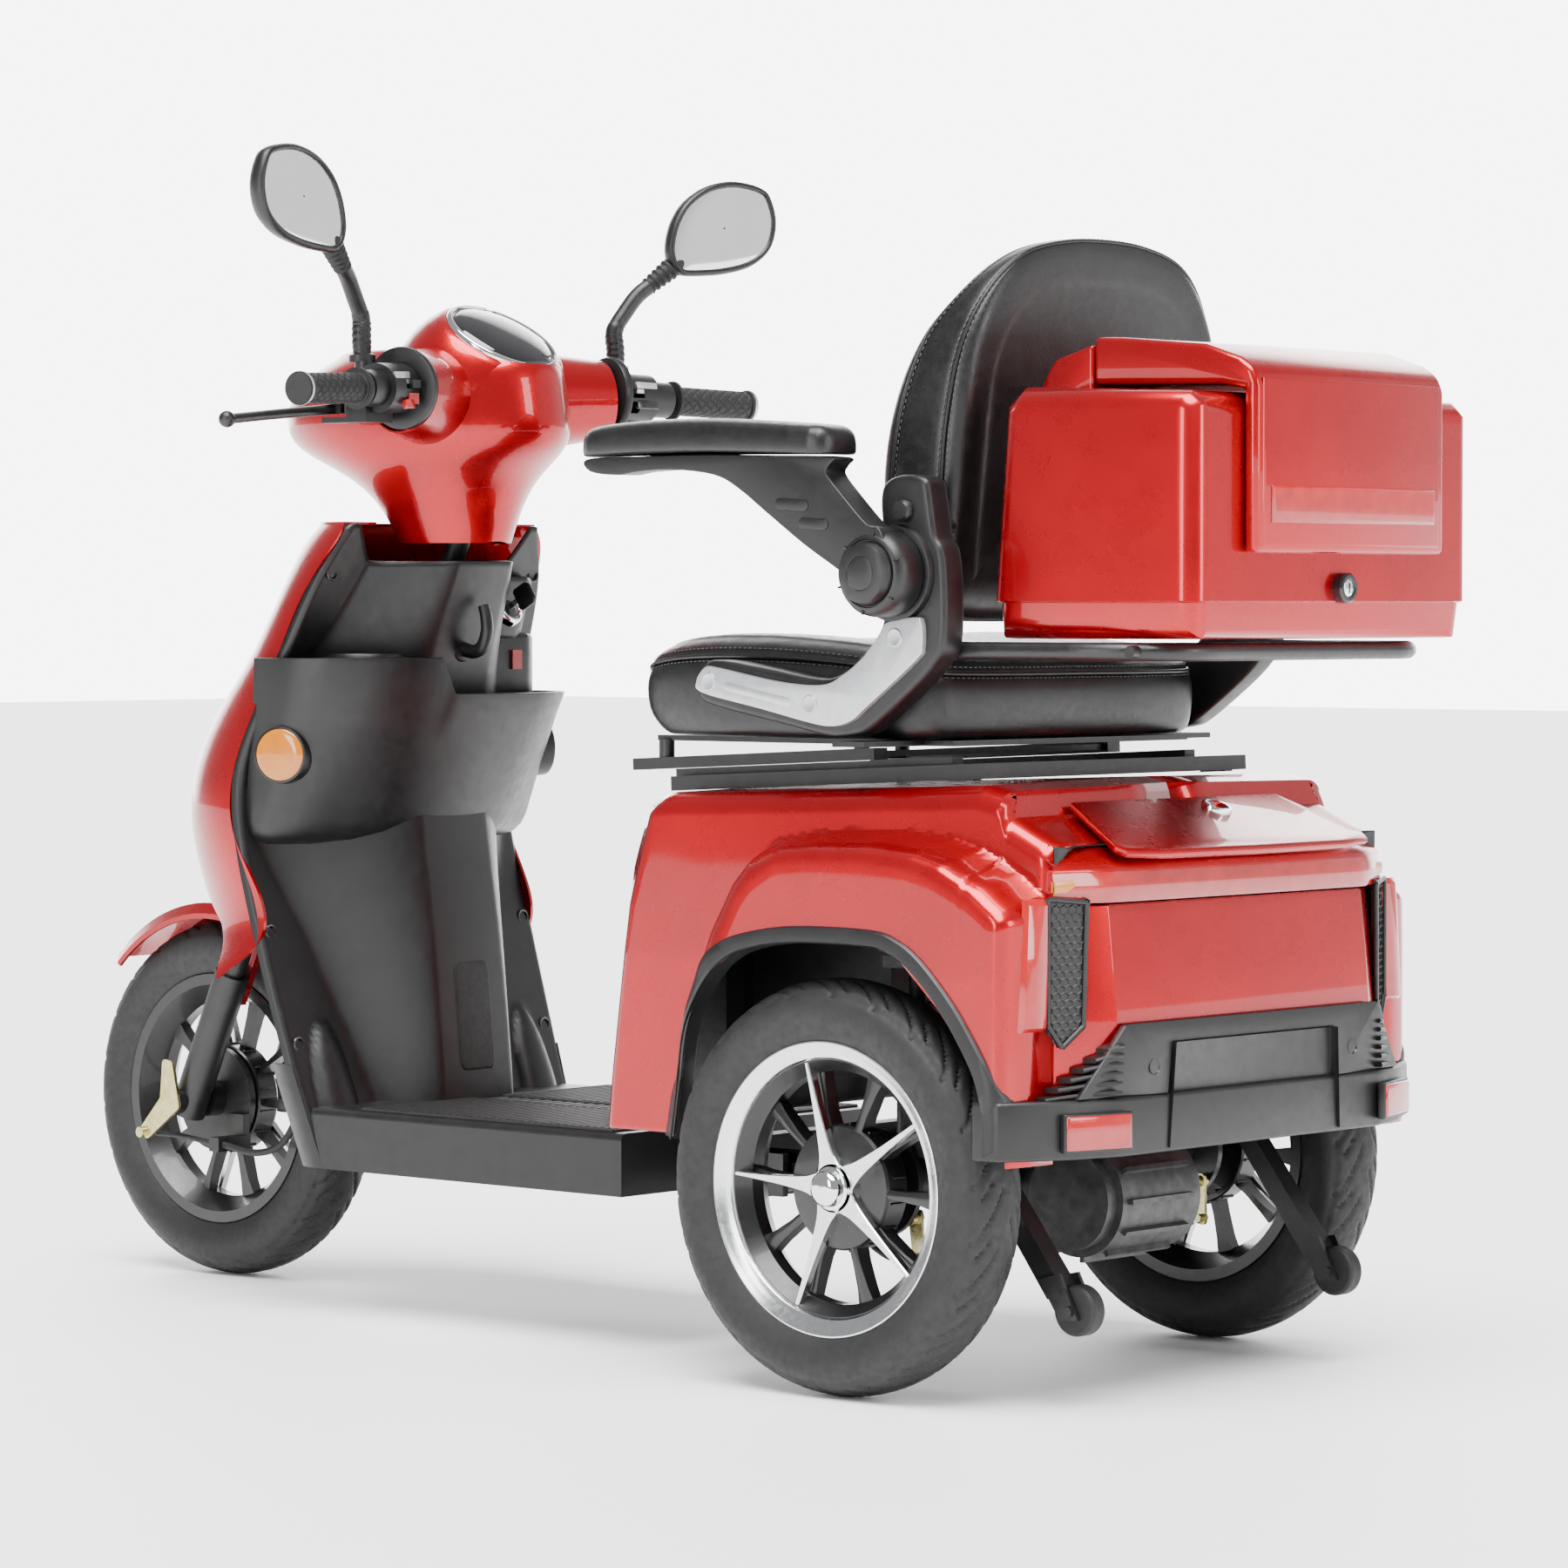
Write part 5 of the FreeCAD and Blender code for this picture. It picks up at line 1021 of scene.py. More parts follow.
SEAT_PLAN = [(-60, 0), (-60, 110), (-50, 196), (-8, 228), (60, 238), (150, 241), (230, 239), (300, 226), (346, 204), (374, 160), (389, 100), (394, 0),
             (389, -100), (374, -160), (346, -204), (300, -226), (230, -239), (150, -241), (60, -238), (-8, -228), (-50, -196), (-60, -110)]


def seat_height(x, z):
    """The cushion's layers follow its crowned top line and its rising nose."""
    top = smooth_table([(-62, 722), (16, 733), (90, 741), (170, 745), (250, 744), (317, 737), (360, 724), (396, 708)], x)
    low = lerp_table([(-60, 641), (330, 641), (396, 646)], x)
    return low + (z - 640) * (top - low) / 105


def seat_look():
    ring = plan_ring(SEAT_PLAN, 8)
    layers = [(640, 26), (640, 16), (643, 8), (650, 4), (664, 1.6), (680, 0.2), (696, 0), (706, 0.8), (714, 2.6), (719, 5.2), (721.5, 8.0), (723, 5.4),
              (727, 6.0), (732, 9.5), (737, 16), (740.5, 26), (742, 27.6), (743.5, 30), (745, 44), (745, 70), (743, 110), (742, 150), (741, 190)]
    rows = []
    for z, d in layers:
        if d <= 60:
            flat = inset_ring(ring, d)
        else:
            k = 1 - (d - 60) / 190
            flat = [(140 + (x - 140) * k, y * k) for x, y in inset_ring(ring, 60)]
        row = []
        for x, y in flat:
            dish = 0.0 if z < 744 and d < 40 else -4.0 * max(0.0, 1 - (abs(y) / 150) ** 2) * max(0.0, 1 - ((x - 90) / 220) ** 2)
            crease = 0.8 * noise.noise(Vector((x * 0.018, y * 0.018, z * 0.03)))
            nose_in = max(0.0, (660 - z) / 20) * max(0.0, (x - 300) / 94) * 30 if z < 690 else 0.0
            row.append(P(x - nose_in - max(0.0, 690 - z) * 0.25 * max(0.0, (x - 300) / 94), y, seat_height(x, z) + dish + crease))
        rows.append(row)
    base = [Vector((sum(v.x for v in rows[0]) / len(ring), 0, rows[0][0].z))] * len(ring)
    top_mid = [P(140, 0, seat_height(140, 741) - 4)] * len(ring)
    mesh = grid("seat_cushion_look", [base] + rows + [top_mid], close_u=True)
    bm = bmesh.new()
    bm.from_mesh(mesh)
    bmesh.ops.remove_doubles(bm, verts=bm.verts, dist=0.0001)
    bmesh.ops.recalc_face_normals(bm, faces=bm.faces)
    bm.to_mesh(mesh)
    bm.free()
    o = link("seat_cushion_look", mesh, M["leather"], "seat", angle=60)
    subdivide(o, 1)
    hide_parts("seat_cushion")
    seam = [P(x, y, seat_height(x, 722.0)) for x, y in inset_ring(ring, 4.6)]
    link("seat_piping", bead("seat_piping", seam, 0.0022, None, None, None), M["leather"], "seat", angle=70)
    threads = []
    for z, d in ((730.2, 7.2), (717.2, 3.4)):
        line = [P(x, y, seat_height(x, z)) for x, y in inset_ring(ring, d)]
        threads.append(stitches(line, [Vector((nx, ny, 0.6)).normalized() for _, _, nx, ny in ring]))
    link("seat_stitches", joined("seat_stitches", threads), M["thread"], "seat", angle=60)


def back_front(z):
    return smooth_table([(740, 28), (800, 32), (889, 35), (958, 26), (1034, -2), (1095, -43), (1140, -74)], z)


def back_rear(z):
    return smooth_table([(740, -58), (800, -65), (900, -76), (1040, -86), (1140, -93)], z)


BACK_OUTLINE = [(0, 757), (120, 757), (182, 759), (206, 770), (216, 800), (218, 870), (216, 950), (209, 1010), (192, 1058), (160, 1099), (118, 1125), (60, 1137), (0, 1140)]


def backrest_look():
    outline = BACK_OUTLINE + [(-y, z) for y, z in BACK_OUTLINE[-2:0:-1]]
    ring = plan_ring(outline, 7)
    layers = [(0.0, 60), (0.012, 34), (0.05, 16), (0.12, 6), (0.2, 1.6), (0.235, 2.6), (0.25, 5.0), (0.262, 2.6), (0.30, 0.6), (0.5, 0.0), (0.76, 0.4), (0.80, 2.6), (0.814, 5.2),
              (0.828, 3.2), (0.88, 4.6), (0.94, 9), (0.975, 15), (0.99, 24), (0.994, 40), (0.985, 44), (0.975, 49), (0.975, 60)]
    rows = []
    centre = (0, 945)
    def at(y, z, u):
        f, r = back_front(z), back_rear(z)
        return P(f + (r - f) * u + 0.7 * noise.noise(Vector((y * 0.02, z * 0.02, u * 2))), y, z)
    for k in (0.04, 0.3, 0.55, 0.8):
        rows.append([at(centre[0] + (y - centre[0]) * k, centre[1] + (z - centre[1]) * k, 0.03 * (1 - k) - 0.015) for y, z in inset_ring(ring, 60)])
    for u, d in layers:
        rows.append([at(y, z, u) for y, z in inset_ring(ring, d)])
    for k in (0.8, 0.5, 0.25, 0.04):
        rows.append([at(centre[0] + (y - centre[0]) * k, centre[1] + (z - centre[1]) * k, 0.975) for y, z in inset_ring(ring, 60)])
    mesh = grid("backrest_look", rows, close_u=True, caps=True)
    o = link("backrest_look", mesh, M["leather"], "seat", angle=60)
    subdivide(o, 1)
    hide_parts("backrest")
    ropes, threads = [], []
    for u, d in ((0.249, 2.4), (0.813, 2.6)):
        line = [at(y, z, u) for y, z in inset_ring(ring, d)]
        n = len(line)
        rope_rows = []
        for i, p in enumerate(line):
            out = Vector((0, ring[i][2], ring[i][3]))
            rope_rows.append([p + (out * math.cos(t) + Vector((1, 0, 0)) * math.sin(t)) * 0.0021 for t in [math.pi * k / 4 for k in range(8)]])
        ropes.append(grid("rope", rope_rows, close_u=True, close_v=True))
    for u, d in ((0.285, 1.1), (0.775, 0.9), (0.85, 3.9)):
        line = [at(y, z, u) for y, z in inset_ring(ring, d)]
        threads.append(stitches(line, [Vector((0, ny, nz)) for _, _, ny, nz in ring]))
    link("backrest_piping", joined("backrest_piping", ropes), M["leather"], "seat", angle=70)
    link("backrest_stitches", joined("backrest_stitches", threads), M["thread"], "seat", angle=60)


def pad_look(side):
    """Upholstered arm pad, longer than wide, with rounded ends and a slow arch."""
    name = "left" if side > 0 else "right"
    outline = [(-9, 308), (-7, 288), (4, 277), (30, 274), (150, 273), (280, 275), (312, 281), (324, 296), (326, 308), (324, 320), (312, 335), (280, 341),
               (150, 343), (30, 342), (4, 339), (-7, 328)]
    ring = plan_ring(outline, 6)
    def low(x):
        return smooth_table([(-12, 919), (70, 922.5), (165, 925), (260, 924.5), (328, 922)], x)
    def high(x):
        return smooth_table([(-12, 948), (70, 954), (165, 958.5), (260, 957), (328, 951)], x)
    layers = [(0.0, 20), (0.0, 4), (0.03, 1.4), (0.12, 0.2), (0.35, 0.0), (0.6, 0.8), (0.76, 2.8), (0.88, 6.5), (0.95, 11), (0.985, 17), (1.0, 26)]
    rows = [[P(150 + (x - 150) * 0.9, side * (308 + (y - 308) * 0.05), low(x) + 0.2) for x, y in inset_ring(ring, 20)]]
    for t, d in layers:
        rows.append([P(x, side * y, low(x) + (high(x) - low(x)) * t) for x, y in inset_ring(ring, d)])
    rows.append([P(150 + (x - 150) * 0.9, side * (308 + (y - 308) * 0.05), high(x) + 0.6) for x, y in inset_ring(ring, 26)])
    mesh = grid(f"arm_pad_{name}_look", rows, close_u=True, caps=True)
    o = link(f"arm_pad_{name}_look", mesh, M["leather"], f"armrest_{name}", angle=60)
    subdivide(o, 1)
    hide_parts(f"arm_pad_{name}")


ARM_OUTLINE = [(322, 920.5), (317, 908), (281, 904), (251, 907), (202, 908), (149, 902), (118, 889), (81, 865), (30, 832), (-16, 806), (-38, 790), (-60, 790),
               (-78, 812), (-66, 846), (-50, 851), (-17, 881), (2, 901), (-1, 909), (-4, 917.5), (70, 920), (165, 922.5), (260, 922)]


def dial(name, centre, side, steps=72):
    """Round hub of the flip-up arm: chamfered drum, notched collar, stepped cap."""
    prof = [(287.5, 20), (287.5, 41), (289, 42.2), (310, 42.2), (316, 41), (321, 38), (323, 35.5), (323.4, 33.4), (321.8, 32.6), (321.8, 31.4), (324, 30.4), (329, 30),
            (332.6, 28.6), (334, 26), (334.6, 17), (334.0, 16.4), (334.6, 15.6), (335.2, 14), (335.4, 0)]
    return spin(name, [(side * (y - 0) / 1000, r / 1000) for y, r in prof], centre, steps)


def slot_mark(cx, cz, length, width, turn, y0, y1):
    """Rounded-slot outline standing off a side face."""
    out = []
    for k in range(9):
        a = math.pi / 2 - math.pi * k / 8
        out.append((length / 2 - width / 2 + width / 2 * math.cos(a), width / 2 * math.sin(a)))
    out += [(-u, -v) for u, v in out]
    c, s = math.cos(math.radians(turn)), math.sin(math.radians(turn))
    return prism("slot", [((cx + u * c - v * s) / 1000 - X_MID, (cz + u * s + v * c) / 1000) for u, v in out], y0, y1, 0.0006, 2)


def flat_shape(name, outline, steps, y0, y1, bevel, segments=3):
    """Side-view outline in millimetres, smoothed, between two Y planes in metres."""
    ring = [(x / 1000 - X_MID, z / 1000) for x, z, _, _ in plan_ring(outline, steps)] if steps else [(x / 1000 - X_MID, z / 1000) for x, z in outline]
    return prism(name, ring, y0, y1, bevel, segments)


def round_plug(x, z, r, y0, y1, side, dome=0.3):
    """A round disc on a side face with a softened rim."""
    c = P(x, 0, z)
    prof = [(y0, r * 0.6), (y0, r), (y1 - 1.0, r), (y1 - 0.3, r - 0.5), (y1, r - 1.3), (y1 - dome, r - 2.2), (y1 - dome, 0)]
    return spin("plug", [(side * y / 1000, rr / 1000) for y, rr in prof], c, 40)


def arm_look(side):
    name = "left" if side > 0 else "right"
    parts = [flat_shape("bar", ARM_OUTLINE, 4, side * 0.2905, side * 0.3215, 0.0045, 4), dial("dial", P(-52, 0, 804), side)]
    parts.append(slot_mark(46, 871.5, 43, 11, 4, side * 0.318, side * 0.3225))
    parts.append(slot_mark(18, 852.5, 38, 11, 4, side * 0.318, side * 0.3225))
    for k in range(6):
        c = P(-52, 0, 804)
        notch = prism("notch", [(0.0345, -0.0008), (0.0405, -0.0008), (0.0405, 0.0008), (0.0345, 0.0008)], side * 0.3195, side * 0.3232, 0.0004, 1)
        shifted(notch, c)
        parts.append(rotated(notch, c, 20 + 60 * k))
    o = link(f"arm_{name}_look", joined(f"arm_{name}_look", parts), M["black_plastic"], f"armrest_{name}", angle=40)
    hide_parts(f"arm_{name}")


BRACKET = [(203, 712), (212, 700), (206, 680), (180, 671), (98, 656), (37, 645), (3, 646), (-20, 655), (-73, 693), (-98, 716), (-111, 738), (-112, 790),
           (-108, 826), (-99, 842), (-92, 880), (-86, 896), (-60, 900), (-38, 894), (-30, 878), (-32, 840), (-34, 770), (-26, 745), (4, 716), (30, 703),
           (60, 702), (120, 711), (185, 719)]
COVER = [(194, 711), (205, 698), (197, 686), (120, 671), (50, 657), (22, 655), (0, 661), (-17, 673), (-80, 719), (-89, 733), (-88, 757), (-79, 762), (-46, 757),
         (-38, 749), (-16, 724), (14, 704), (41, 695), (98, 698), (178, 711)]


def bracket_look():
    frames, covers, plugs = [], [], []
    for s in (1, -1):
        frames.append(flat_shape("frame", BRACKET, 5, s * 0.2465, s * 0.2790, 0.006, 4))
        covers.append(flat_shape("cover", COVER, 5, s * 0.2700, s * 0.2856, 0.0028, 4))
        for x, z in ((188, 697), (54, 676), (-55, 742)):
            plugs.append(round_plug(x, z, 9.5, 280, 287, s))
        plugs.append(slot_mark(122, 685, 92, 8.5, 10.5, s * 0.2835, s * 0.2864))
        covers.append(joined("rivets", plugs))
        plugs = []
        frames.append(round_plug(-63, 865, 10.5, 276, 286, s, -1.6))
        c = P(-52, 0, 804)
        frames.append(spin("boss", [(s * 0.2465, 0.020), (s * 0.2465, 0.046), (s * 0.279, 0.048), (s * 0.2855, 0.0465), (s * 0.2862, 0.044), (s * 0.2862, 0.010)], c, 64))
        frames.append(spin("tie", [(s * 0.2185, 0.004), (s * 0.2185, 0.007), (s * 0.2470, 0.007)], P(-70, 0, 850), 24))
    o = link("armrest_brackets_look", joined("armrest_brackets_look", frames), M["black_plastic"], "seat", angle=40)
    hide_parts("armrest_brackets")
    link("bracket_covers", joined("bracket_covers", covers), M["silver"], "seat", angle=40)


seat_look()
backrest_look()
for hand in (1, -1):
    pad_look(hand)
    arm_look(hand)
bracket_look()


# ---- leg shield, pod, controls on it ----------------------------------------------------------------
# height: flange X, flange half-width, crest X, half-width where the middle column meets the wings
SHIELD = [(160, 840, 203, 786, 99), (226, 863, 209, 789, 103), (270, 879, 212, 792, 112), (400, 921, 216, 806, 150), (520, 955, 216, 824, 196),
          (590, 958, 214, 830, 200), (655, 935, 206, 826, 186), (724, 905, 194, 812, 150), (800, 873, 178, 784, 118), (862, 848, 150, 762, 96)]


def shield_at(column, z):
    return smooth_table([(row[0], row[column]) for row in SHIELD], z)


def shield_x(y, z):
    """The skin behind the flange: a flat-faced middle column between two wings, with a dome in each foot corner."""
    edge, half, crest, wide = (shield_at(c, z) for c in (1, 2, 3, 4))
    a = abs(y)
    face = lerp_table([(160, 56), (520, 50), (800, 42), (862, 38)], z)
    wing = edge - 10 - 8 * (1 - min(1.0, a / half))
    if a <= face:
        x = crest + 3.0 * (a / face) ** 2
    else:
        t = min(1.0, (a - face) / (wide - face))
        ease = t * t * (3 - 2 * t)
        mixed = 0.45 * t + 0.55 * ease
        x = crest + 3.0 + (wing - crest - 3.0) * mixed
    dome = 1 - ((a - 158) / 27) ** 2 - (max(0.0, z - 226) / 92) ** 2
    if dome > 0 and z < 330:
        x -= 15 * math.sqrt(dome)
    if a > half - 7:
        x += 10 * ((a - half + 7) / 7) ** 2
    return x


def shield_look():
    rows = []
    for j in range(91):
        row = []
        for i in range(113):
            s = i / 56 - 1
            t = j / 90
            top = 822 + 40 * min(1.0, max(0.0, (abs(s) - 0.64) / 0.25))
            z = 160 + (top - 160) * t
            y = s * shield_at(2, z)
            row.append(P(shield_x(y, z), y, z))
        rows.append(row)
    skin = grid("leg_shield_look", rows)
    bm = bmesh.new()
    bm.from_mesh(skin)
    bmesh.ops.recalc_face_normals(bm, faces=bm.faces)
    if sum(f.normal.x for f in bm.faces) > 0:
        bmesh.ops.reverse_faces(bm, faces=bm.faces)
    bm.to_mesh(skin)
    bm.free()
    o = link("leg_shield_look", skin, M["black_plastic"], "chassis", angle=50)
    wall = o.modifiers.new("wall", "SOLIDIFY")
    wall.thickness = 0.003
    wall.offset = -1
    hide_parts("leg_shield")
    # lower corner pieces that carry the apron's line down to the deck
    feet = []
    for s in (1, -1):
        foot = []
        for z in (160, 190, 220, 250, 271):
            e, h = shield_at(1, z), shield_at(2, z)
            foot.append([P(e - 9, s * (h - 2), z), P(e, s * h, z), P(e + 14, s * (h - 2), z), P(e + 30, s * (h - 9), z), P(e + 28, s * (h - 14), z), P(e - 6, s * (h - 8), z)])
        feet.append(grid("foot", foot, close_u=True, caps=True))
    link("shield_feet", joined("shield_feet", feet), M["black_plastic"], "chassis", angle=50)
    # raised pad on the column and screws in sunk seats
    pad = []
    for inset, out in ((0, -0.6), (0, 0.5), (1.2, 1.3), (3.0, 1.5)):
        ring = []
        for cy, cz, a0 in ((19, 366, 0), (-19, 366, 90), (-19, 270, 180), (19, 270, 270)):
            for k in range(7):
                a = math.radians(a0 + 15 * k)
                y, z = cy + (8 - inset) * math.cos(a), cz + (12 - inset) * math.sin(a)
                ring.append(P(shield_x(y, z) - out, y, z))
        pad.append(ring)
    link("column_pad", grid("column_pad", pad, close_u=True, caps=True), M["rubber"], "chassis", angle=40)
    seats, screws = [], []
    for y, z in ((158, 808), (199, 415), (194, 293)):
        for s in (1, -1):
            way = Vector((-1, 0, 0.1)).normalized()
            at = P(shield_x(s * y, z), s * y, z)
            seats.append(lathe_on("seat", [(0.0006, 0.0085), (0.0014, 0.0080), (0.0012, 0.0062), (-0.0024, 0.0052), (-0.0024, 0.0)], at, way, 28))
            screws.append(lathe_on("screw", [(-0.0022, 0.0044), (-0.0008, 0.0040), (-0.0004, 0.0022), (-0.0010, 0.0)], at, way, 20))
    link("screw_seats", joined("screw_seats", seats), M["black_gloss"], "chassis", angle=40)
    link("shield_screws", joined("shield_screws", screws), M["bare_metal"], "chassis", angle=40)


POD_TOP = [(935, 204), (902, 206), (872, 202), (836, 184), (806, 152), (785, 108), (776, 60), (773, 0), (776, -60), (785, -108), (806, -152), (836, -184),
           (872, -202), (902, -206), (935, -204)]
POD_LOW = [(955, 203), (938, 205), (920, 200), (900, 178), (878, 136), (856, 92), (844, 50), (840, 0), (844, -50), (856, -92), (878, -136), (900, -178),
           (920, -200), (938, -205), (955, -203)]


def pod_ring(z, inset, count=6):
    t = min(1.0, (z - 512) / 164)
    bow = 5.0 * math.sin(math.pi * max(0.0, min(1.0, t))) if 0 < t < 1 else 0.0
    pts = []
    for (xl, yl), (xt, yt) in zip(POD_LOW, POD_TOP):
        x, y = xl + (xt - xl) * t, yl + (yt - yl) * t
        pts.append((x - bow * max(0.0, 1 - abs(y) / 150) * 1.0, y))
    line = smooth_2d(pts, count)
    n = len(line)
    out = []
    for i, (x, y) in enumerate(line):
        (x0, y0), (x1, y1) = line[max(i - 1, 0)], line[min(i + 1, n - 1)]
        tx, ty = x1 - x0, y1 - y0
        k = math.hypot(tx, ty) or 1
        out.append((x - ty / k * inset, y + tx / k * inset))
    return out


def rim_height(y):
    t = min(1.0, max(0.0, (y - 50) / 18))
    return 676 + 40 * t * t * (3 - 2 * t)


def pod_look():
    rows = []
    for z, inset in ((510, 60), (509, 34), (510.5, 20), (515, 9), (524, 2.5), (536, 0), (560, 0), (590, 0), (620, 0), (650, 0)):
        rows.append([P(x, y, z) for x, y in pod_ring(z, inset)])
    for frac, inset in ((0.93, 0), (0.985, 0.3), (1.0, 1.6), (1.0, 5.0), (0.985, 6.2), (0.9, 6.4)):
        rows.append([P(x, y, 650 + (rim_height(y) - 650) * frac) for x, y in pod_ring(676, inset)])
    rows.append([P(x, y, 562 if y < 50 else 640) for x, y in pod_ring(566, 8)])
    rows.append([P(x, y, 558 if y < 50 else 638) for x, y in pod_ring(562, 46)])
    shell = grid("pod", rows)
    # deck round the cup: rays from the cup's rim to the pod's edge
    cx, cy, r = 846, 122, 37
    edge = [(x, y) for x, y in pod_ring(676, 3.0) if y > 52]
    inner = (shield_x(52, 716) + 6, 52)
    polygon = edge + [(edge[-1][0] + 1, 52), inner, (920, 120)]
    deck = []
    for lift, part in ((1.4, 0.0), (0.6, 0.14), (0.0, 0.3), (-0.2, 0.75), (-0.4, 1.0), (-3.5, 1.005)):
        ring = []
        for k in range(96):
            a = 2 * math.pi * k / 96
            ca, sa = math.cos(a), math.sin(a)
            reach = 400.0
            for (x0, y0), (x1, y1) in zip(polygon, polygon[1:] + polygon[:1]):
                ex, ey = x1 - x0, y1 - y0
                den = ca * ey - sa * ex
                if abs(den) > 1e-9:
                    t = ((x0 - cx) * ey - (y0 - cy) * ex) / den
                    u = ((x0 - cx) * sa - (y0 - cy) * ca) / den
                    if t > 0 and -1e-6 <= u <= 1 + 1e-6:
                        reach = min(reach, t)
            d = r + 4 + max(0.0, reach - r - 4) * part
            x, y = cx + ca * d, cy + sa * d
            ring.append(P(x, y, min(715.5, rim_height(y) - 0.5) + lift if part < 1 else min(715.5, rim_height(y)) + lift))
        deck.append(ring)
    top = grid("deck", deck, close_u=True)
    o = link("pod_look", joined("pod_look", [shell, top]), M["black_plastic"], "chassis", angle=40)
    cup = spin_up("cup", [(0.7135, 0.0420), (0.7185, 0.0414), (0.7205, 0.0396), (0.7205, 0.0372), (0.7185, 0.0358), (0.712, 0.0352), (0.690, 0.0344), (0.660, 0.0325),
                          (0.652, 0.0300), (0.651, 0.0)], P(cx, cy, 0), 72)
    link("cup_ring", cup, M["black_plastic"], "chassis", angle=40)


def spin_up(name, profile, centre, steps=64):
    """Turns a (height, radius) profile about a vertical line."""
    return lathe_on(name, [(h, r) for h, r in profile], Vector((centre.x, centre.y, 0)), Vector((0, 0, 1)), steps)


def switch_panel():
    """Stepped housing right of the column for the key lock and the lamp rocker, and the bag hook."""
    lower = prism("lower", [(x / 1000 - X_MID, y / 1000) for x, y in ((900, -70), (866, -78), (858, -92), (857, -150), (868, -168), (905, -176))], 0.668, 0.742, 0.006, 3, plane="xy")
    upper = prism("upper", [(x / 1000 - X_MID, y / 1000) for x, y in ((892, -62), (862, -74), (853, -88), (853, -126), (862, -142), (892, -150))], 0.735, 0.806, 0.007, 3, plane="xy")
    lean = Matrix(((1, 0, -0.30, 0.30 * 0.74), (0, 1, 0, 0), (0, 0, 1, 0), (0, 0, 0, 1)))
    upper.transform(lean)
    hook_path = smooth_path([P(836, 0, 731), (P(815, 0, 725)), P(797, 0, 722), P(784, 0, 728), P(777, 0, 744), P(778, 0, 760), P(782, 0, 773)], 8)
    radius = [0.0085 - 0.0022 * i / (len(hook_path) - 1) for i in range(len(hook_path))]
    hook = grid("hook", tube_rows(hook_path, radius, 16), close_u=True, caps=True)
    root = lathe_on("root", [(-0.006, 0.019), (0.003, 0.017), (0.006, 0.012), (0.007, 0.0)], P(818, 0, 728), Vector((-1, 0, 0.15)).normalized(), 40)
    link("switch_panel", joined("switch_panel", [lower, upper, hook, root]), M["black_plastic"], "chassis", angle=35)
    way = Vector((-0.86, -0.1, 0.5)).normalized()
    at = P(850, -98, 765)
    collar = lathe_on("collar", [(0.000, 0.0205), (0.0075, 0.0200), (0.0100, 0.0185), (0.0108, 0.0165), (0.0092, 0.0150), (0.0088, 0.012), (0.0088, 0.0)], at + way * 0.004, way, 56)
    o = link("key_collar", collar, M["chrome"], "key", angle=40)
    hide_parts("ignition_key")
    face = lathe_on("face", [(0.0128, 0.0145), (0.0138, 0.0135), (0.0150, 0.006), (0.0152, 0.0)], at, way, 48)
    link("key_face", face, M["black_gloss"], "key", angle=40)
    bow = prism("bow", [(-0.011, 0.018), (0.011, 0.018), (0.0135, 0.021), (0.0135, 0.038), (0.009, 0.043), (-0.009, 0.043), (-0.0135, 0.038), (-0.0135, 0.021)], -0.0022, 0.0022, 0.0012, 2)
    shank = prism("shank", [(-0.0035, 0.006), (0.0035, 0.006), (0.0035, 0.020), (-0.0035, 0.020)], -0.0010, 0.0010, 0.0003, 1)
    turn = way.to_track_quat("Z", "Y").to_matrix().to_4x4()
    for m in (bow, shank):
        m.transform(Matrix.Translation(at + way * 0.008) @ turn @ Matrix.Rotation(math.radians(90), 4, "Z"))
    link("key_bow", bow, M["black_plastic"], "key", angle=40)
    link("key_shank", shank, M["chrome"], "key", angle=40)


def deck_mats():
    """Ribbed rubber mats in a low frame, left and right of the middle strip."""
    parts = []
    for s in (1, -1):
        for k in range(34):
            x = 410 + 10.6 * k
            outer = min(188, 188)
            parts.append(prism("rib", [(x / 1000 - X_MID, 0.2262), ((x + 1.5) / 1000 - X_MID, 0.2290), ((x + 4.8) / 1000 - X_MID, 0.2290), ((x + 6.3) / 1000 - X_MID, 0.2262)],
                               *sorted((s * 0.030, s * outer / 1000))))
        frame_pts = [P(404, s * 24, 227), P(404, s * 194, 227), P(776, s * 194, 227), P(776, s * 24, 227)]
        for a, b in zip(frame_pts, frame_pts[1:] + frame_pts[:1]):
            parts.append(grid("edge", tube_rows([a, a.lerp(b, 0.5), b], 0.0022, 8), close_u=True, caps=True))
    for k in range(22):
        x = 414 + 16.4 * k
        parts.append(prism("mid", [(x / 1000 - X_MID, 0.2262), ((x + 2) / 1000 - X_MID, 0.2278), ((x + 8) / 1000 - X_MID, 0.2278), ((x + 10) / 1000 - X_MID, 0.2262)], -0.016, 0.016))
    link("deck_mats", joined("deck_mats", parts), M["rubber"], "chassis", angle=30)


# ---- mirrors, dash, grips -----------------------------------------------------------------------------
# glass outline about its middle: outwards, up
GLASS = [(-60, -48), (-45, -50), (0, -46), (38, -36), (62, -18), (70, 8), (64, 32), (52, 43), (15, 48), (-20, 41), (-48, 24), (-64, 2), (-71, -22), (-69, -38)]


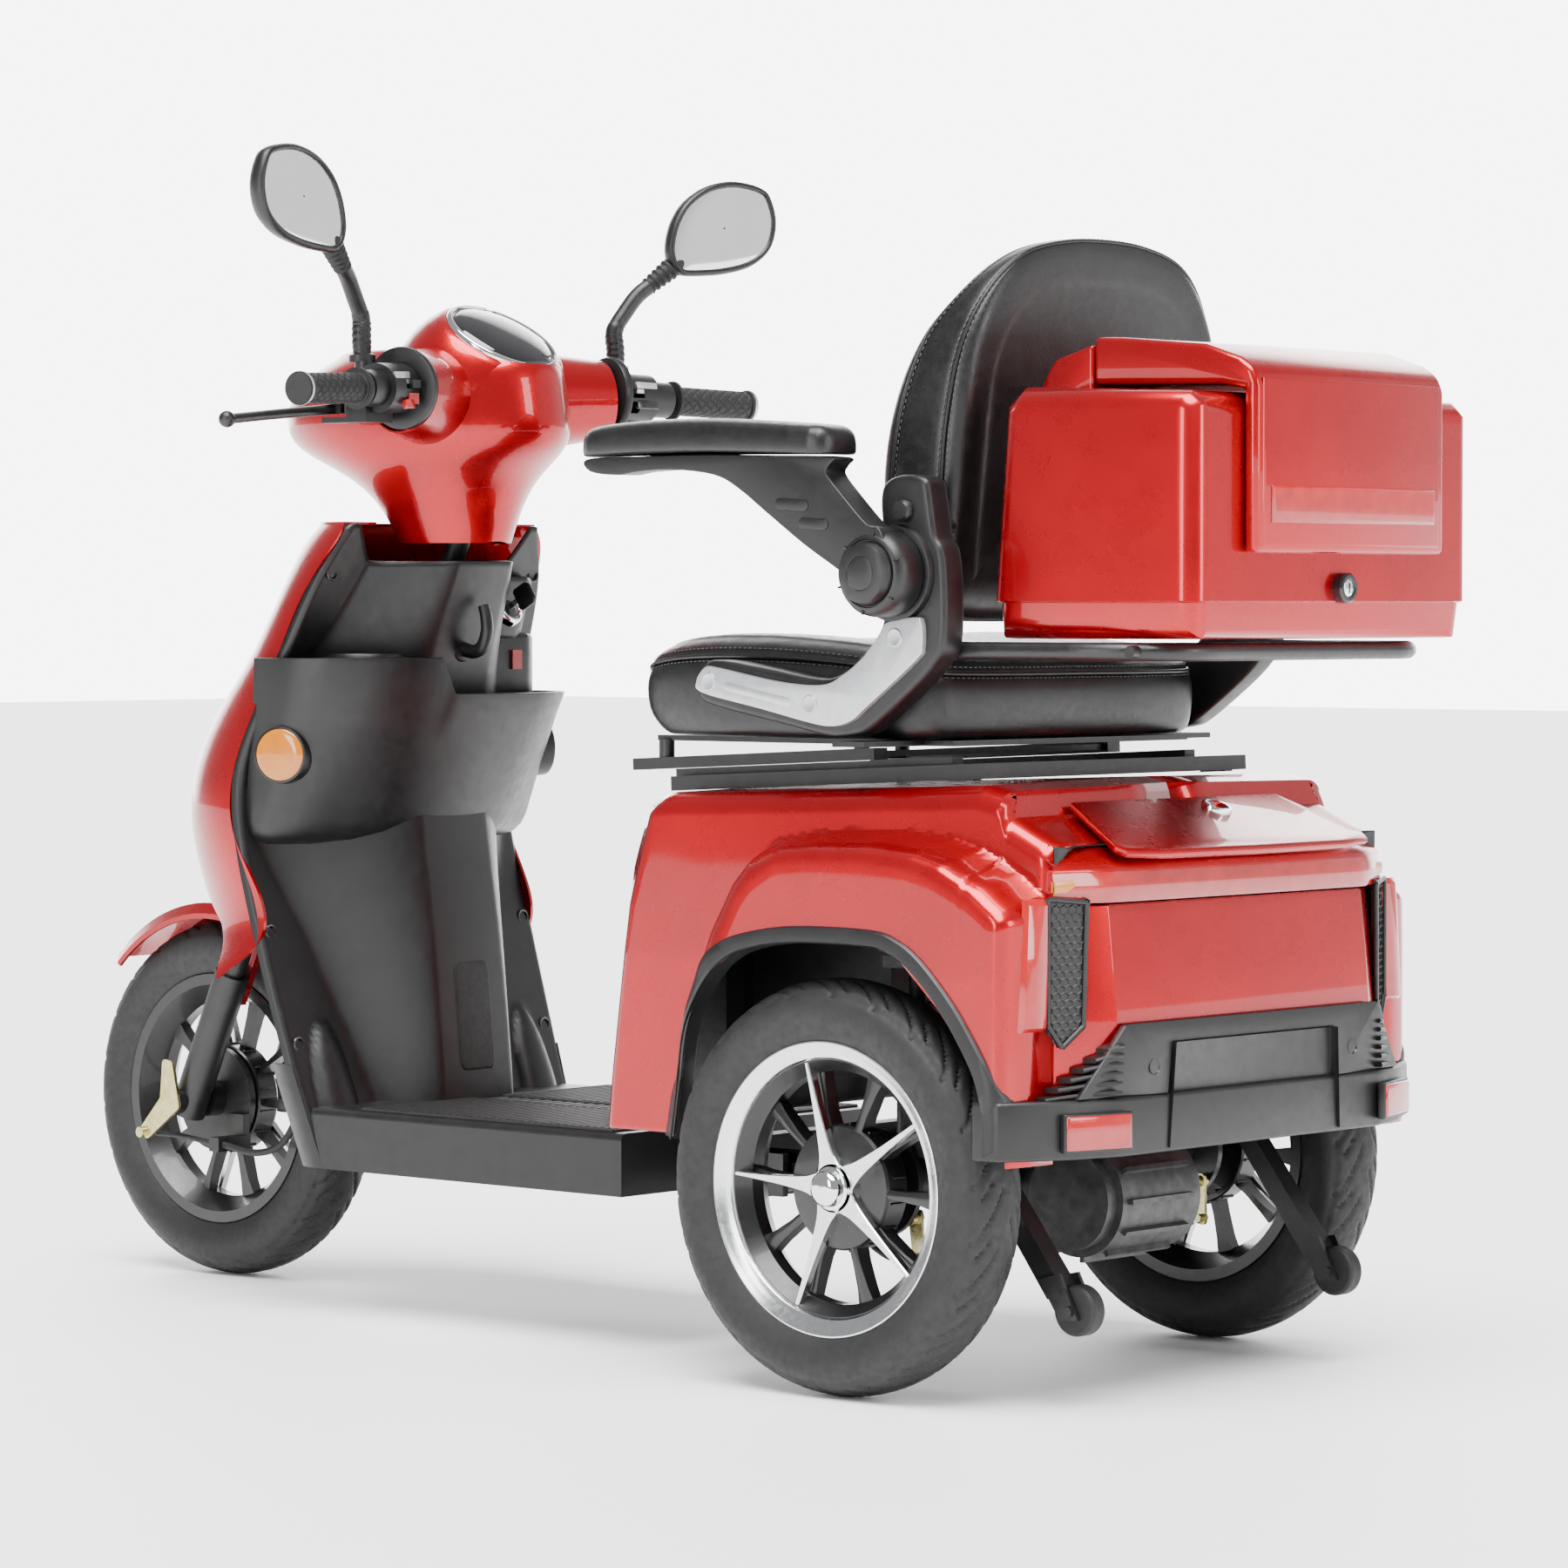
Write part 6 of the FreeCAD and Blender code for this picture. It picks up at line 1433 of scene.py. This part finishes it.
def mirror_look(side):
    """Egg-shaped shell round a framed glass, its ribbed boot on the stem."""
    name = "left" if side > 0 else "right"
    ring = plan_ring(GLASS, 6)
    middle = Vector((721, 331, 1204))
    face = Matrix.Rotation(math.radians(side * 10.5), 3, "Z")
    def at(u, v, depth):
        p = face @ Vector((depth, side * u, v))
        return P(middle.x + p.x, side * middle.y + p.y, middle.z + p.z)
    def scaled(k, grow):
        return [((x + nx * grow) * k, (y + ny * grow) * k) for x, y, nx, ny in ring]
    shell = [[at(u, v, d) for u, v in scaled(k, g)] for k, g, d in
             ((1, -1.0, 1.2), (1, 0.2, -1.2), (1, 2.6, -2.0), (1, 5.0, -0.6), (1, 6.4, 3), (1, 6.0, 9), (0.97, 5, 16), (0.88, 4, 23), (0.70, 3, 29), (0.45, 2, 32.5), (0.15, 1, 33.5), (0.01, 0, 33.6))]
    shell_mesh = grid("shell", shell, close_u=True)
    glass = [[at(u, v, d) for u, v in scaled(k, g)] for k, g, d in ((1, -0.6, 1.0), (0.85, 0, 0.4), (0.6, 0, 0.0), (0.3, 0, -0.2), (0.02, 0, -0.3))]
    o = link(f"mirror_{name}_look", shell_mesh, M["black_plastic"], f"mirror_{name}", angle=50)
    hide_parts(f"mirror_head_{name}")
    link(f"mirror_{name}_glass", grid("glass", glass, close_u=True, caps=False), M["mirror_glass"], f"mirror_{name}", angle=60)
    start, end = Vector((758, 236, 1131)), Vector((744, 270, 1159))
    path, radius = [], []
    for i in range(41):
        t = i / 40
        p = start.lerp(end, t)
        path.append(P(p.x, side * p.y, p.z))
        radius.append(0.0088 + 0.0036 * t + (0.0011 * math.cos(2 * math.pi * t * 6) if 0.05 < t < 0.95 else 0))
    neck_end = [(Vector((747, 284, 1169)), 0.0150), (Vector((747, 298, 1180)), 0.0160), (Vector((745, 314, 1190)), 0.0120)]
    for p, r in neck_end:
        path.append(P(p.x, side * p.y, p.z))
        radius.append(r)
    link(f"mirror_{name}_boot", grid("boot", tube_rows(path, radius, 28), close_u=True, caps=True), M["rubber"], f"mirror_{name}", angle=50)


def stems_look():
    """Mirror stems with a threaded foot, a ribbed sleeve and a bend outwards."""
    parts = []
    for s in (1, -1):
        line = smooth_path([P(768, s * 200, 1036), P(769, s * 200, 1062), P(770, s * 200, 1084), P(766, s * 214, 1106), P(761, s * 228, 1124), P(755, s * 242, 1136)], 12)
        n = len(line) - 1
        radius = []
        for i, p in enumerate(line):
            base = 0.0093 if p.z > 1.088 else 0.0100
            if 1.050 < p.z < 1.078:
                base += 0.0010 * (0.5 + 0.5 * math.cos((p.z - 1.050) / 0.028 * 2 * math.pi * 4))
            if p.z < 1.044:
                base = 0.0145
            radius.append(base)
        parts.append(grid("stem", tube_rows(line, radius, 24), close_u=True, caps=True))
    o = link("mirror_stems_look", joined("mirror_stems_look", parts), M["black_plastic"], "steering", angle=50)
    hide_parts("mirror_stems")


def dash_look():
    """Round dark display under a domed lens in a chromed ring."""
    tilt = math.radians(33)
    way = Vector((-math.sin(tilt), 0, math.cos(tilt)))
    at = P(752, 0, 1068)
    ring = lathe_on("ring", [(-0.014, 0.0665), (-0.001, 0.0668), (0.0022, 0.0662), (0.0036, 0.0645), (0.0034, 0.0618), (0.0012, 0.0604), (-0.002, 0.0600)], at, way, 120)
    link("dash_ring", ring, M["chrome"], "steering", angle=50)
    cowl = lathe_on("cowl", [(-0.075, 0.098), (-0.055, 0.0965), (-0.035, 0.0915), (-0.018, 0.0835), (-0.007, 0.0755), (-0.002, 0.0705), (-0.0015, 0.0672), (-0.008, 0.0650)], at, way, 120)
    link("dash_cowl", cowl, M["red_paint"], "steering", angle=50)
    lens = lathe_on("lens", [(-0.003, 0.0606), (0.0015, 0.0600), (0.0048, 0.0530), (0.0075, 0.0430), (0.0096, 0.0300), (0.0107, 0.0150), (0.0110, 0.0)], at, way, 96)
    o = link("instrument_look", lens, M["dash"], "steering", angle=60)
    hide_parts("instrument")


BAR_KNEE, BAR_END = Vector((745, 161, 1008)), Vector((704, 356, 1001))


def along_bar(t, side):
    p = BAR_KNEE.lerp(BAR_END, t)
    return P(p.x, side * p.y, p.z)


def grip_look(side, node, body):
    """Rubber grip: diamond pattern between a flange and a ringed end cap."""
    a, b = along_bar(0.44, side), along_bar(1.0, side)
    way = (b - a).normalized()
    length = (b - a).length
    across_way = way.orthogonal().normalized()
    up = way.cross(across_way)
    rows = []
    steps, turns = 168, 72
    for i in range(steps + 1):
        t = i / steps
        row = []
        for k in range(turns):
            ang = 2 * math.pi * k / turns
            u = t * length / 0.0125
            v = k / turns * 9
            d1, d2 = abs((u + v) % 1 - 0.5) * 2, abs((u - v) % 1 - 0.5) * 2
            cut = 1.0 if min(1 - d1, 1 - d2) > 0.22 else min(1 - d1, 1 - d2) / 0.22
            r = 0.0153 + (0.0012 * cut if 0.06 < t < 0.90 else 0.0012)
            if t < 0.035:
                r = 0.0222
            elif t < 0.05:
                r = 0.0180
            elif 0.915 < t < 0.93:
                r = 0.0158
            elif t > 0.93:
                r = 0.0179
            if t > 0.985:
                r = 0.0168
            row.append(a + way * length * t + (across_way * math.cos(ang) + up * math.sin(ang)) * r)
        rows.append(row)
    o = link(f"{node}_look", grid(node, rows, close_u=True, caps=True), M["rubber"], body, angle=40)
    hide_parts(node)
    cap = lathe_on("cap", [(-0.0045, 0.0182), (-0.0025, 0.0184), (-0.0012, 0.0180)], b, way, 48)
    link(f"{node}_ring", cap, M["silver"], body, angle=40)


def pod_details():
    """Silver slider plate and red light switch beside the left grip; a silver plate and a starter slider on the right.
    """
    spots = []
    for s, node in ((1, "left"), (-1, "right")):
        c = along_bar(0.16, s)
        way = (along_bar(0.3, s) - along_bar(0.0, s)).normalized()
        back = Vector((-1, 0, 0.12)).normalized()
        up = way.cross(back).normalized()
        if up.z < 0:
            up = -up
        def block(u0, u1, v0, v1, w, mat, name, bevel=0.0008):
            pts = [c + way * u + up * v + back * w0 for w0 in (0.020, w) for u, v in ((u0, v0), (u1, v0), (u1, v1), (u0, v1))]
            mesh = mesh_of(name, pts, [(0, 1, 2, 3), (4, 5, 6, 7), (0, 1, 5, 4), (1, 2, 6, 5), (2, 3, 7, 6), (3, 0, 4, 7)])
            bevel_mesh(mesh, bevel, 2)
            spots.append(link(name, mesh, mat, "steering", angle=40))
        block(-0.014, 0.014, 0.001, 0.014, 0.0266, M["silver"], f"plate_{node}")
        if s > 0:
            block(-0.016, 0.000, -0.026, -0.016, 0.0272, M["red_lens"], "light_switch")
        else:
            block(-0.014, 0.014, -0.016, -0.006, 0.0268, M["black_gloss"], "starter_slide")


def collars():
    """Black rings that close the cover's ends round the switch pods."""
    rings = []
    for s in (1, -1):
        way = (along_bar(0.3, s) - along_bar(0.0, s)).normalized()
        rings.append(lathe_on("collar", [(-0.010, 0.024), (-0.006, 0.043), (0.000, 0.0450), (0.003, 0.0440), (0.004, 0.0400), (0.0035, 0.0275)], along_bar(0.0, s) + way * 0.002, way, 64))
    link("pod_collars", joined("pod_collars", rings), M["black_plastic"], "steering", angle=40)


def cover_screws():
    screws = []
    for s in (1, -1):
        for x, y, z, w in ((774, 113, 952, (-0.55, s * 0.35, -0.75)), (770, 52, 880, (-0.88, s * 0.45, 0.1))):
            screws.append(lathe_on("screw", [(0.0010, 0.0062), (0.0026, 0.0058), (0.0034, 0.0036), (0.0024, 0.0)], P(x, s * y, z), Vector(w).normalized(), 24))
    link("cover_screws", joined("cover_screws", screws), M["chrome"], "steering", angle=40)


shield_look()
pod_look()
switch_panel()
deck_mats()
for hand in (1, -1):
    mirror_look(hand)
stems_look()
dash_look()
grip_look(1, "left_grip", "steering")
grip_look(-1, "throttle_grip", "throttle")
pod_details()
collars()


# ---- floor, light, camera --------------------------------------------------------------------
def floor():
    bpy.ops.mesh.primitive_plane_add(size=60, location=(0, 0, 0))
    o = bpy.context.object
    o.name = "floor"
    mat, n, links, bsdf = new_material("floor")
    bsdf.inputs["Base Color"].default_value = (0.97, 0.97, 0.97, 1)
    bsdf.inputs["Roughness"].default_value = 0.6
    o.data.materials.append(mat)


def area(name, at, to, size, size_y, power, colour=(1, 1, 1)):
    light = bpy.data.lights.new(name, "AREA")
    light.shape = "RECTANGLE"
    light.size, light.size_y, light.energy, light.color = size, size_y, power, colour
    o = bpy.data.objects.new(name, light)
    bpy.context.scene.collection.objects.link(o)
    o.location = at
    o.rotation_euler = (Vector(to) - Vector(at)).to_track_quat("-Z", "Y").to_euler()


def sun(to, angle, strength):
    light = bpy.data.lights.new("sun", "SUN")
    light.angle, light.energy = math.radians(angle), strength
    o = bpy.data.objects.new("sun", light)
    bpy.context.scene.collection.objects.link(o)
    o.rotation_euler = Vector(to).to_track_quat("-Z", "Y").to_euler()


def studio_world(walls):
    """Dim room with bright walls: (way, from, to, strength) for each."""
    world = bpy.data.worlds.new("studio")
    bpy.context.scene.world = world
    world.use_nodes = True
    nt = world.node_tree
    coord = nt.nodes.new("ShaderNodeTexCoord").outputs["Generated"]
    total = None
    for way, start, end, strength in walls:
        dot = nt.nodes.new("ShaderNodeVectorMath")
        dot.operation = "DOT_PRODUCT"
        dot.inputs[1].default_value = way
        nt.links.new(coord, dot.inputs[0])
        wall = ramp(nt, dot.outputs["Value"], start, end, 0.2, strength)
        if total is not None:
            add = nt.nodes.new("ShaderNodeMath")
            add.operation = "ADD"
            nt.links.new(total, add.inputs[0])
            nt.links.new(wall, add.inputs[1])
            wall = add.outputs["Value"]
        total = wall
    background = nt.nodes["Background"]
    background.inputs["Color"].default_value = (1.0, 1.0, 1.0, 1)
    nt.links.new(total, background.inputs["Strength"])


floor()
studio_world((((0.66, -0.75, 0.0), 0.72, 0.90, 7.0), ((-0.62, -0.78, 0.0), 0.78, 0.88, 0.9)))
sun((0.18, -0.28, -1.0), 48, 9.0)
area("left", (-0.2, 4.8, 1.8), (0, 0, 0.6), 1.2, 2.4, 90)
area("rear", (-4.6, -0.4, 1.9), (0, 0, 0.6), 1.0, 2.4, 75)

camera = bpy.data.cameras.new("camera")
cam = bpy.data.objects.new("camera", camera)
bpy.context.scene.collection.objects.link(cam)
bpy.context.scene.camera = cam
camera.sensor_width = 36
camera.lens = 126.94
camera.shift_x = -0.0064
camera.shift_y = 0.0005
CAM_AT = Vector((-3.5151 - X_MID, 4.3817, 0.7725))
YAW, PITCH, ROLL = 0.8512, 0.0323, -0.0029
ahead = Vector((math.cos(YAW) * math.cos(PITCH), -math.sin(YAW) * math.cos(PITCH), -math.sin(PITCH)))
cam.location = CAM_AT
cam.rotation_mode = "QUATERNION"
cam.rotation_quaternion = ahead.to_track_quat("-Z", "Y")
camera.clip_end = 100
